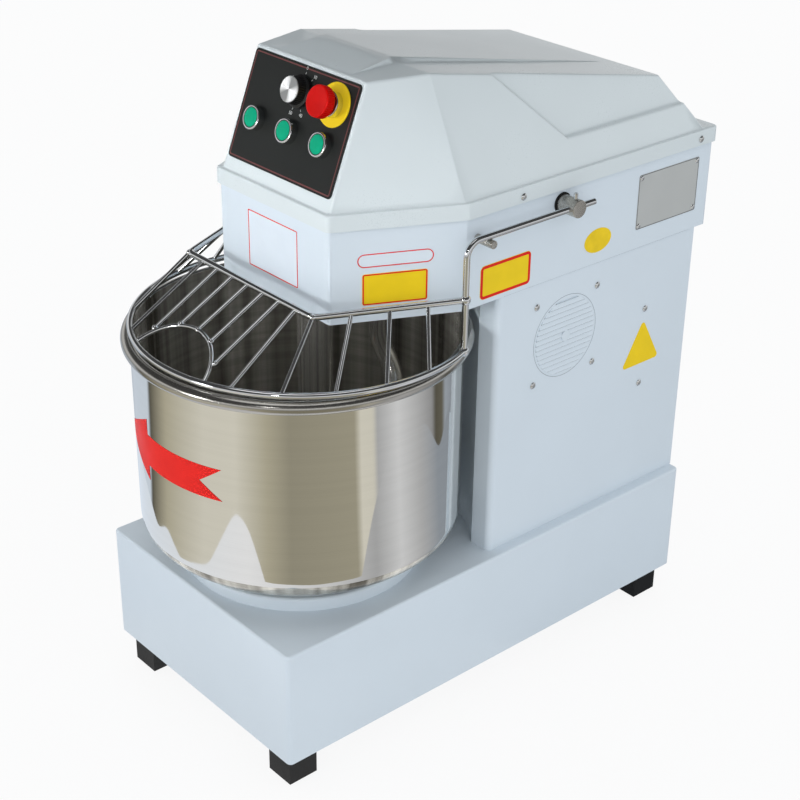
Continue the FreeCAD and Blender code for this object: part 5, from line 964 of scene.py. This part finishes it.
class MixerStop(bpy.types.Operator):
    """Build the emergency stop: legend disc, collar and ribbed mushroom head"""

    bl_idname = "mixer.stop"
    bl_label = "Emergency stop"

    SEAT, BORE = 0.0015, 0.0081
    LEGEND_R, LEGEND_TOP, LEGEND_EDGE = 0.025, 0.0027, 0.0004
    COLLAR_R, COLLAR_TOP, COLLAR_EDGE = 0.0145, 0.0117, 0.0012
    HEAD_R, HEAD_FOOT, HEAD_TOP, HEAD_EDGE, HEAD_DISH = 0.018, 0.017, 0.0285, 0.002, 0.0012
    RIBS, RIB_DEPTH = 40, 0.0006

    def execute(self, context):
        centre = DIAL + STOP_X * X_AXIS
        legend = oblong(self.BORE, self.LEGEND_R, self.SEAT, self.LEGEND_TOP)
        disc = washer(legend, [0, 0, self.LEGEND_EDGE, 0], centre, PANEL_OUT, 128)
        add_piece("legend_disc", [disc], "yellow_plastic", "stop_legend_disc")
        collar = oblong(self.BORE, self.COLLAR_R, self.LEGEND_TOP, self.COLLAR_TOP)
        ring = washer(collar, [0, 0, self.COLLAR_EDGE, 0], centre, PANEL_OUT)
        add_piece("stop_ring", [ring], "bright_chrome", "stop_collar")
        side = [
            (self.BORE, self.HEAD_FOOT),
            (self.HEAD_R - self.HEAD_EDGE / 2, self.HEAD_FOOT),
            (self.HEAD_R, self.HEAD_FOOT + self.HEAD_EDGE / 2),
            (self.HEAD_R, self.HEAD_TOP - self.HEAD_EDGE),
        ]
        flat_r, wall_top = self.HEAD_R - self.HEAD_EDGE, self.HEAD_TOP - self.HEAD_EDGE
        rim = arc(self.HEAD_EDGE, np.linspace(0, TURN / 4, 9), (flat_r, wall_top))
        share = np.linspace(1, 0, 8)[1:, None]
        dish = np.hstack([flat_r * share, self.HEAD_TOP - self.HEAD_DISH * (1 - share**2)])
        hole_z = self.HEAD_FOOT + self.HEAD_EDGE
        hole = [(0, hole_z), (self.BORE, hole_z)]
        first = len(hole) + len(side) - 2
        ribs = (first, first + 3, self.RIBS, self.RIB_DEPTH)
        profile = np.concatenate([hole, side, rim, dish])
        head = lathe(profile, centre, PANEL_OUT, 384, flute=ribs)
        add_piece("stop_head_cap", [head], "red_plastic", "stop_mushroom")
        return {"FINISHED"}


class MixerTimer(bpy.types.Operator):
    """Build the fluted timer knob with its turned face and the dial's marks"""

    bl_idname = "mixer.timer"
    bl_label = "Timer"

    SEAT, FOOT, SKIRT_TOP = 0.0015, 0.0018, 0.0058
    SKIRT_R, GRIP_R, TOP = 0.0185, 0.0162, 0.018
    FACE_R, FACE_TOP = 0.0146, 0.0192
    EDGE, FLUTES, FLUTE_DEPTH = 0.0008, 36, 0.0006
    START_DEG, END_DEG, STEPS, MINUTES = 88.0, -105.0, 5, 10
    TICK_START, TICK_END, TICK_WIDTH, TICK_HEIGHT = 0.0200, 0.0225, 0.0006, 0.0002
    NUMBER_R, NUMBER_SIZE = 0.0268, 0.0056

    def execute(self, context):
        skirt = [
            (0, self.FOOT),
            (self.SKIRT_R, self.FOOT),
            (self.SKIRT_R, self.SKIRT_TOP),
            (self.GRIP_R + self.EDGE, self.SKIRT_TOP + self.EDGE),
        ]
        foot = (self.GRIP_R, self.SKIRT_TOP + 2 * self.EDGE)
        grip = rounded([foot, (self.GRIP_R - self.EDGE, self.TOP), (0, self.TOP)], self.EDGE)
        flutes = (len(skirt), len(skirt) + 2, self.FLUTES, self.FLUTE_DEPTH)
        knob = lathe(np.concatenate([skirt, grip]), DIAL, PANEL_OUT, 288, flute=flutes)
        add_piece("timer_grip", [knob], "black_plastic", "timer_knob")
        edge = rounded(oblong(0, self.FACE_R, self.TOP, self.FACE_TOP), [0, self.EDGE / 2])
        inner_r = np.linspace(edge[-2][0], 0, 8)[1:, None]
        inner = np.hstack([inner_r, np.full_like(inner_r, self.FACE_TOP)])
        face = lathe(np.concatenate([edge[:-1], inner]), DIAL, PANEL_OUT, 128)
        add_piece("timer_face", [face], "knob_metal", "timer_knob_face")

        ticks = []
        low, high = self.SEAT, self.SEAT + self.TICK_HEIGHT
        for step in range(self.STEPS + 1):
            angle = math.radians(self.START_DEG + (self.END_DEG - self.START_DEG) * step / self.STEPS)
            along = math.cos(angle) * X_AXIS + math.sin(angle) * PANEL_UP
            across = np.cross(PANEL_OUT, along)
            outline = oblong(self.TICK_START, self.TICK_END, -self.TICK_WIDTH / 2, self.TICK_WIDTH / 2)
            ticks.append(plate((DIAL, along, across), outline, low, high, self.TICK_HEIGHT / 4))
            place = DIAL + self.NUMBER_R * along + low * PANEL_OUT
            add_number(str(self.MINUTES * step), place, self.NUMBER_SIZE, self.TICK_HEIGHT)
        add_piece("dial_ticks", ticks, "panel_print")
        pointer = oblong(-self.TICK_WIDTH, self.TICK_WIDTH, self.FACE_R, self.GRIP_R - self.EDGE)
        line = plate(PANEL_FACE, pointer, self.TOP, self.TOP + self.TICK_HEIGHT, self.TICK_HEIGHT / 4)
        add_piece("knob_pointer", [line], "panel_print", body="knob")
        return {"FINISHED"}


def add_number(text, place, size, height):
    """A plain number printed on the panel: a text made a mesh, then laid on the panel's plane."""
    curve = bpy.data.curves.new("dial_number_" + text, "FONT")
    curve.body = text
    curve.size = size
    curve.align_x = "CENTER"
    curve.align_y = "CENTER"
    curve.extrude = height / 2
    writer = bpy.data.objects.new(curve.name, curve)
    bpy.context.scene.collection.objects.link(writer)
    shown = writer.evaluated_get(bpy.context.evaluated_depsgraph_get())
    mesh = bpy.data.meshes.new_from_object(shown)
    bpy.data.objects.remove(writer)
    bpy.data.curves.remove(curve)
    turn = Matrix([X_AXIS, PANEL_UP, PANEL_OUT]).transposed().to_4x4()
    mesh.transform(Matrix.Translation(place + PANEL_OUT * height / 2) @ turn)
    mesh.materials.clear()
    tidy_mesh(mesh)
    dress("dial_number_" + text, mesh, "panel_print")


class MixerPanel(bpy.types.Operator):
    """Build the control panel's sheet and its border line"""

    bl_idname = "mixer.panel"
    bl_label = "Control panel"

    WIDTH, LOW, HIGH, CORNER = 0.188, -0.098, 0.030, 0.005
    FOOT, TOP, EDGE = 0.00005, 0.0015, 0.0004
    LINE_INSET, LINE_WIDTH, LINE_HEIGHT = 0.0026, 0.0014, 0.0001

    def execute(self, context):
        half = self.WIDTH / 2
        outline = rounded(oblong(-half, half, self.LOW, self.HIGH), self.CORNER, 8, closed=True)
        sheet = plate(PANEL_FACE, outline, self.FOOT, self.TOP, self.EDGE)
        add_piece("panel_face", [sheet], "panel_sheet", "control_panel")
        line = inset(outline, self.LINE_INSET)
        ring = border(PANEL_FACE, line, self.LINE_WIDTH, self.TOP, self.TOP + self.LINE_HEIGHT)
        add_piece("panel_border", [ring], "panel_line")
        return {"FINISHED"}


class MixerPlates(bpy.types.Operator):
    """Lay the bare plates and plain stickers on the head and the column"""

    bl_idname = "mixer.plates"
    bl_label = "Plates and stickers"

    WHITE, YELLOW = ("sign_white", "sign_red"), ("sign_yellow", "sign_red")
    METAL = ("plate_metal", "plate_line")
    # Each card: name, face, left, right, low and high side, corner, field and line, width of the line
    CARDS = (
        ("nose_sticker", HEAD_FRONT, (-0.047, 0.0455, 0.581, 0.651), 0.002, WHITE, 0.0012),
        ("chamfer_strip", HEAD_CHAMFER, (0.032, 0.121, 0.6205, 0.6375), 0.0084, WHITE, 0.0012),
        ("chamfer_sticker", HEAD_CHAMFER, (0.038, 0.114, 0.575, 0.613), 0.003, YELLOW, 0.0016),
        ("side_sticker", HEAD_SIDE, (-0.031, 0.050, 0.561, 0.603), 0.006, YELLOW, 0.0035),
        ("side_plate", HEAD_SIDE, (0.233, 0.345, 0.580, 0.6515), 0.003, METAL, 0.0009),
    )
    LINE_LIFT = 1.5
    OVAL_CENTRE, OVAL_HALF = (0.165, 0.585), (0.0235, 0.0155)
    TRIANGLE, TRIANGLE_CORNER = ((0.231, 0.385), (0.302, 0.385), (0.2665, 0.4475)), 0.004

    def execute(self, context):
        thick = context.scene.mixer_sizes.plate_thickness
        for name, face, sides, corner, (field, line), width in self.CARDS:
            outline = rounded(oblong(*sides), corner, 8, closed=True)
            add_piece(name, [plate(face, outline, 0, thick)], field)
            ring = border(face, inset(outline, thick), width, thick / 2, thick * self.LINE_LIFT)
            add_piece(name + "_border", [ring], line)
        oval = arc(self.OVAL_HALF, np.linspace(0, TURN, 64, endpoint=False), self.OVAL_CENTRE)
        add_piece("oval_sticker", [plate(HEAD_SIDE, oval, 0, thick)], "sign_gold")
        triangle = rounded(self.TRIANGLE, self.TRIANGLE_CORNER, 8, closed=True)
        add_piece("column_sticker", [plate(COLUMN_SIDE, triangle, 0, thick)], "sign_yellow")
        return {"FINISHED"}


class MixerGrille(bpy.types.Operator):
    """Build the round fan grille: plain disc and hub, slanted hoods, dark strips of painted shade in the slots
    under them, and a painted shade line round its edge
    """

    bl_idname = "mixer.grille"
    bl_label = "Fan grille"

    COUNT, RIM, HUB_R = 15, 0.0035, 0.007
    HOOD, HOOD_RUN, LIP = 0.0016, 0.0038, 0.0003
    SLOT, PROUD, SEAM = 0.0011, 0.0001, 0.0007

    def execute(self, context):
        low, high = extent("fan_grille")
        outer_r = (high[2] - low[2]) / 2
        slotted_r = outer_r - self.RIM
        centre = np.array([COLUMN_HIGH[0], *FAN_CENTRE[1:]])
        face = (centre, Y_AXIS, Z_AXIS)

        def bar(section):
            """A bar whose ends lie on the slotted circle.

            Its section holds (height, lift) pairs, and a pair beyond the circle is left out.
            """
            height, lift = np.array([pair for pair in section if abs(pair[0]) < slotted_r]).T
            reach = np.sqrt(slotted_r**2 - height**2)
            rings = [on_face(face, np.stack([side * reach, height], axis=1), lift[:, None]) for side in SIDES]
            caps = [np.repeat(ring.mean(axis=0)[None], len(ring), axis=0) for ring in rings]
            return np.stack([caps[0], *rings, caps[1]]), False, True

        inner = low[0] - centre[0]
        hub_top = self.HOOD + self.PROUD
        disc = stepped(outer_r, self.HUB_R, inner, 0, hub_top)
        hoods, slots = [lathe(disc, centre, X_AXIS)], []
        pitch = 2 * slotted_r / self.COUNT
        for step in range(self.COUNT):
            lip = pitch * (step + 0.5) - slotted_r
            root = lip + self.HOOD_RUN
            edge = self.HOOD - self.LIP
            hoods.append(bar([(root, 0), (lip + self.LIP, self.HOOD), (lip, edge), (lip, 0)]))
            # Under each hood, a dark strip of painted shade stands for the open slot
            foot = lip - self.SLOT
            slots.append(bar([(lip, 0), (lip, self.PROUD), (foot, self.PROUD), (foot, 0)]))
        add_piece("grille_hoods", hoods, "white_paint", "fan_grille")
        add_piece("grille_slot_shade", slots, "slot_shade")
        # A thin dark ring round the grille's edge: painted shade of its groove
        circle = arc(outer_r, np.linspace(0, TURN, 96, endpoint=False))
        add_piece("grille_edge_shade", [border(face, circle, self.SEAM, 0, self.PROUD)], "seam_shade")
        return {"FINISHED"}


class MixerSeams(bpy.types.Operator):
    """Lay thin painted shadow strips where the head meets the column, under the head's overhang"""

    bl_idname = "mixer.seams"
    bl_label = "Seams"

    HEIGHT, PROUD, INSET = 0.0014, 0.0003, 0.009

    def execute(self, context):
        seams = []
        for side in SIDES:
            face = (np.array([side * COLUMN_HIGH[0], 0, 0]), side * Y_AXIS, Z_AXIS)
            ends = sorted(side * y for y in (COLUMN_LOW[1] + self.INSET, COLUMN_HIGH[1] - self.INSET))
            # A painted shadow strip just under the head's lower edge
            strip = oblong(*ends, HEAD_LOW[2] - self.HEIGHT, HEAD_LOW[2])
            seams.append(plate(face, strip, 0, self.PROUD))
        add_piece("head_seam_shadows", seams, "seam_shade")
        return {"FINISHED"}


class MixerScrews(bpy.types.Operator):
    """Drive the visible screws of the brim, the fan, the column and the plate"""

    bl_idname = "mixer.screws"
    bl_label = "Screws"

    FAN_SQUARE = 0.105
    BRIM = ((0.029, 0.675), (0.340, 0.676))
    COLUMN = ((0.267, 0.4635), (0.267, 0.3566))
    PLATE = ((0.2375, 0.5845), (0.3405, 0.5845), (0.2375, 0.647), (0.3405, 0.647))
    RIVET_R = 0.0036

    def execute(self, context):
        radius = context.scene.mixer_sizes.screw_radius
        thick = context.scene.mixer_sizes.plate_thickness
        half = self.FAN_SQUARE / 2
        places = [(COLUMN_SIDE, place) for place in self.COLUMN]
        for first in SIDES:
            for second in SIDES:
                places.append((COLUMN_SIDE, (FAN_CENTRE[1] + first * half, FAN_CENTRE[2] + second * half)))
        places += [(BRIM_SIDE, place) for place in self.BRIM]
        heads = [screw_head(face, place, radius) for face, place in places]
        add_piece("side_screws", heads, "zinc")
        origin, across, up = HEAD_SIDE
        plate_top = (origin + thick * X_AXIS, across, up)
        dome = [(0, 0), *arc((self.RIVET_R, self.RIVET_R / 2), np.linspace(0, TURN / 4, 6))]
        rivets = [lathe(dome, on_face(plate_top, place, 0), X_AXIS, 24) for place in self.PLATE]
        add_piece("plate_rivets", rivets, "zinc")
        return {"FINISHED"}


# Stage


def stage_sheet(name, grid, material, unseen=()):
    """A floor or card of the studio that some kinds of rays don't see."""
    sheet = add_object(name, build_mesh(name, [(grid, False, False)]), material)
    for ray in unseen:
        setattr(sheet, "visible_" + ray, False)


def level_sheet(half_x, half_y, place=(0, 0, 0)):
    """The corners of a level rectangle about a place."""
    x, y = np.meshgrid([-half_x, half_x], [-half_y, half_y])
    return np.array(place) + np.stack([x, y, np.zeros_like(x)], axis=2)


def fill_ramp(ramp, stops):
    """Sets a colour ramp's stops from pairs of a position and a colour."""
    elements = ramp.color_ramp.elements
    while len(elements) < len(stops):
        elements.new(1.0)
    for element, (position, colour) in zip(elements, stops):
        element.position = position
        element.color = colour


def background_rays(tree):
    """One for rays that see the background: straight from the camera, or by way of metal or glass."""
    path = node(tree, "ShaderNodeLightPath").outputs
    seen = calc(tree, "MAXIMUM", path["Is Camera Ray"], path["Is Glossy Ray"])
    return calc(tree, "MAXIMUM", seen, path["Is Transmission Ray"])


def blend_shaders(tree, share, first, second):
    """A shader between two shaders."""
    return node(tree, "ShaderNodeMixShader", {0: share, 1: first, 2: second}).outputs[0]


class MixerStage(bpy.types.Operator):
    """Set the floor, the studio light and the camera"""

    bl_idname = "mixer.stage"
    bl_label = "Studio"

    FLOOR_HALF, FLOOR_WHITE, FLOOR_TINT = 8.0, 0.9, (0.86, 0.87, 0.88)
    SKY_LOW, SKY_HIGH, SKY_TINT = 0.94, 0.8, (0.96, 0.98, 1.0)
    WHITE = (1.0, 1.0, 1.0)
    TARGET = (0.0, -0.05, 0.42)
    HEAD_TARGET = (0.0, -0.2, 0.62)
    # Each light: name, place, target, size, spread in degrees and power
    LIGHTS = (
        ("key_light", (-1.9, -2.6, 1.3), TARGET, 1.8, 180.0, 3.0),
        ("head_light", (-0.5, -2.6, 0.9), HEAD_TARGET, 0.6, 16.0, 0.46),
        ("side_light", (2.6, -1.6, 1.2), TARGET, 1.6, 180.0, 9.5),
        ("spark_light", (1.0, -1.7, 1.6), HEAD_TARGET, 0.1, 180.0, 1.2),
    )
    FLAG_HALF, FLAG_PLACE = (0.22, 0.33), (0.0, 0.04, 1.16)
    CAMERA = (1.42155, -1.25409, 1.35770)
    AZIMUTH, ELEVATION, ROLL = 48.62, 27.93, 0.78
    LENS, SENSOR = 75.09, 36.0
    CARD_LIGHT, CARD_SOFT = 1.15, 6
    WALL_TOP, WALL_START = 3.2, (0.05, 0.3)
    WALL_SHADES = ((0.05, 0.0), (0.3, 0.35), (0.8, 0.8), (1.3, 0.8), (1.4, 0.06))
    WARM, PALE = (1.0, 0.965, 0.85), (1.0, 0.98, 0.92)
    PLAIN, COOL = (0.99, 0.99, 1.0), (0.91, 0.95, 1.0)
    # A run holds (radius, height), shades hold (degrees, level, tint) and a reach holds (degrees, stretch)
    CARD_RUN = (
        (0.36, 0.002), (1.5, 0.002), (2.2, 0.05), (2.4, 0.3), (2.5, 0.8),
        (2.5, 1.3), (2.5, 1.35), (2.2, 2.4), (1.2, 3.2),
    )
    CARD_SHADES = (
        (-180, 212, COOL), (-154, 218, COOL), (-151, 84, WARM), (-132, 172, WARM), (-100, 206, PALE),
        (-78, 208, PALE), (-58, 172, WARM), (-44, 146, WARM), (-4, 156, WARM), (0, 208, PALE),
        (8, 206, PALE), (11, 172, PLAIN), (26, 208, PLAIN), (56, 146, PLAIN), (60, 86, WARM),
        (68, 98, WARM), (72, 166, COOL), (110, 74, COOL), (150, 168, COOL), (180, 212, COOL),
    )
    CARD_REACH = ((0, 1.0),)
    PAPER_RUN = ((0.34, 0.004), (1.34, 0.004))
    PAPER_SHADES = (
        (-180, 230, COOL), (-70, 231, PLAIN), (-20, 202, PLAIN), (8, 168, PLAIN), (26, 207, PLAIN),
        (44, 175, PLAIN), (62, 154, COOL), (84, 150, COOL), (110, 102, COOL), (180, 230, COOL),
    )
    PAPER_REACH = (
        (-180, 0.4), (-143, 0.22), (-133, 0.25), (-118, 0.19), (-96, 0.22), (-78, 0.4),
        (-70, 0.36), (-56, 0.17), (-30, 0.12), (-4, 0.18), (8, 0.4), (24, 0.62),
        (50, 0.6), (64, 0.46), (80, 0.62), (180, 0.4),
    )
    CARD_UNSEEN = ("camera", "diffuse", "shadow", "transmission")
    FLAG_UNSEEN = ("camera", "transmission")

    def execute(self, context):
        self.add_world(context.scene)
        self.add_floor()
        self.add_card("studio_card", self.CARD_RUN, self.CARD_SHADES, self.CARD_REACH)
        self.add_card("studio_paper", self.PAPER_RUN, self.PAPER_SHADES, self.PAPER_REACH)
        for light in self.LIGHTS:
            self.add_light(*light)
        # A dark flag over the cover takes light from above off its top
        flag = level_sheet(*self.FLAG_HALF, self.FLAG_PLACE)
        stage_sheet("studio_flag", flag, finish("black_rubber"), self.FLAG_UNSEEN)
        self.add_camera(context.scene)
        context.scene.view_settings.view_transform = "Standard"
        return {"FINISHED"}

    def add_world(self, scene):
        """Soft light that is strongest near the horizon, and white to rays that see the background."""
        scene.world = bpy.data.worlds.new("studio")
        tree = blank_tree(scene.world)
        rise = part_of(tree, place_of(tree, "Generated"), "Z")
        level = mapped(tree, rise, 0.0, 1.0, self.SKY_LOW, self.SKY_HIGH)
        light = node(tree, "ShaderNodeBackground", {"Color": shade(self.SKY_TINT), "Strength": level})
        white = node(tree, "ShaderNodeBackground", {"Color": shade(self.WHITE), "Strength": 1.0})
        blend = blend_shaders(tree, background_rays(tree), light.outputs[0], white.outputs[0])
        node(tree, "ShaderNodeOutputWorld", {"Surface": blend})

    def add_floor(self):
        """A plain pale floor that keeps a soft shadow."""
        material = bpy.data.materials.new("studio_floor")
        tree = blank_tree(material)
        matt = node(tree, "ShaderNodeBsdfDiffuse", {"Color": shade(self.FLOOR_TINT)})
        glow = node(tree, "ShaderNodeEmission", {"Color": shade(self.WHITE), "Strength": 1.0})
        share = calc(tree, "MULTIPLY", background_rays(tree), self.FLOOR_WHITE)
        blend = blend_shaders(tree, share, matt.outputs[0], glow.outputs[0])
        node(tree, "ShaderNodeOutputMaterial", {"Surface": blend})
        stage_sheet("studio_floor", level_sheet(self.FLOOR_HALF, self.FLOOR_HALF), material)

    def add_card(self, name, run, shades, reach):
        """A ring that only the polished metal sees: shades by the way round, on the floor and up a dim wall.

        Its run of (radius, height) is stretched outwards by a reach that goes with the angle.
        """
        material = bpy.data.materials.new(name)
        tree = blank_tree(material)
        shift = {"Vector": place_of(tree), "Location": tuple(-BOWL_CENTRE)}
        moved = node(tree, "ShaderNodeMapping", shift).outputs[0]
        parts = node(tree, "ShaderNodeSeparateXYZ", {0: moved}).outputs
        way = calc(tree, "ARCTAN2", parts["Y"], parts["X"])
        ramp = node(tree, "ShaderNodeValToRGB", {0: mapped(tree, way, -math.pi, math.pi)})
        stops = [(degrees / 360 + 0.5, srgb(*(level * np.array(tone)))) for degrees, level, tone in shades]
        fill_ramp(ramp, [(position, shade(colour, self.CARD_LIGHT)) for position, colour in stops])
        wall = node(tree, "ShaderNodeValToRGB", {0: mapped(tree, parts["Z"], 0.0, self.WALL_TOP)})
        greys = [(height / self.WALL_TOP, (grey, grey, grey, 1.0)) for height, grey in self.WALL_SHADES]
        fill_ramp(wall, greys)
        above = mapped(tree, parts["Z"], *self.WALL_START)
        light = mixed(tree, above, ramp.outputs[0], wall.outputs[0])
        glow = node(tree, "ShaderNodeEmission", {"Color": light})
        node(tree, "ShaderNodeOutputMaterial", {"Surface": glow.outputs[0]})
        degrees = np.linspace(-180, 180, 361)
        window = np.hanning(2 * self.CARD_SOFT + 1) / self.CARD_SOFT
        steps = np.pad(np.interp(degrees, *np.array(reach, float).T), self.CARD_SOFT, mode="edge")
        stretch = np.convolve(steps, window, mode="valid")[:, None]
        radius, height = np.array(run).T
        radius = radius[0] + (radius - radius[0]) * stretch
        ways = level_way(degrees)[:, None]
        grid = BOWL_CENTRE + radius[..., None] * ways + height[:, None] * Z_AXIS
        stage_sheet(name, grid, material, self.CARD_UNSEEN)

    def add_light(self, name, place, target, size, spread, power):
        """A square soft light at a place, turned to face a target."""
        lamp = bpy.data.lights.new(name, "AREA")
        lamp.shape = "SQUARE"
        lamp.size = size
        lamp.spread = math.radians(spread)
        lamp.energy = power
        light = bpy.data.objects.new(name, lamp)
        back = unit(np.array(place) - np.array(target))
        side = unit(np.cross(Z_AXIS, back))
        light.matrix_world = camera_matrix(place, side, np.cross(back, side), back)
        bpy.context.scene.collection.objects.link(light)

    def add_camera(self, scene):
        """The photograph's viewpoint: azimuth from -Y towards +X, elevation and a small roll."""
        data = bpy.data.cameras.new("view")
        data.sensor_width = self.SENSOR
        data.lens = self.LENS
        camera = bpy.data.objects.new("view", data)
        azimuth, elevation, roll = np.radians((self.AZIMUTH, self.ELEVATION, self.ROLL))
        level = math.cos(elevation)
        back = np.array([math.sin(azimuth) * level, -math.cos(azimuth) * level, math.sin(elevation)])
        right = np.array([math.cos(azimuth), math.sin(azimuth), 0])
        up = np.cross(back, right)
        side = right * math.cos(roll) + up * math.sin(roll)
        camera.matrix_world = camera_matrix(self.CAMERA, side, np.cross(back, side), back)
        scene.collection.objects.link(camera)
        scene.camera = camera


def camera_matrix(place, right, up, back):
    """World matrix of a camera or lamp from its place and its three directions."""
    return Matrix.Translation(place) @ Matrix([right, up, back]).transposed().to_4x4()


class MixerSidebar(bpy.types.Panel):
    """Sizes, colours and build steps of the mixer"""

    bl_idname = "VIEW3D_PT_mixer"
    bl_label = "Spiral Dough Mixer"
    bl_space_type = "VIEW_3D"
    bl_region_type = "UI"
    bl_category = "Mixer"

    def draw(self, context):
        for group in (context.scene.mixer_sizes, context.scene.mixer_colours):
            box = self.layout.box()
            for name in group.__annotations__:
                box.prop(group, name)
        for step in STEPS:
            self.layout.operator(step.bl_idname)


STEPS = (
    MixerFinishes,
    MixerShells,
    MixerBowl,
    MixerArrow,
    MixerTools,
    MixerGuard,
    MixerPivots,
    MixerPanel,
    MixerButtons,
    MixerStop,
    MixerTimer,
    MixerPlates,
    MixerGrille,
    MixerSeams,
    MixerScrews,
    MixerStage,
)
CLASSES = (MixerSizes, MixerColours, *STEPS, MixerSidebar)


def register():
    for cls in CLASSES:
        bpy.utils.register_class(cls)
    bpy.types.Scene.mixer_sizes = bpy.props.PointerProperty(type=MixerSizes)
    bpy.types.Scene.mixer_colours = bpy.props.PointerProperty(type=MixerColours)


def unregister():
    del bpy.types.Scene.mixer_colours
    del bpy.types.Scene.mixer_sizes
    for cls in reversed(CLASSES):
        bpy.utils.unregister_class(cls)


def main():
    register()
    for step in STEPS:
        category, name = step.bl_idname.split(".")
        getattr(getattr(bpy.ops, category), name)()


if __name__ == "__main__":
    main()
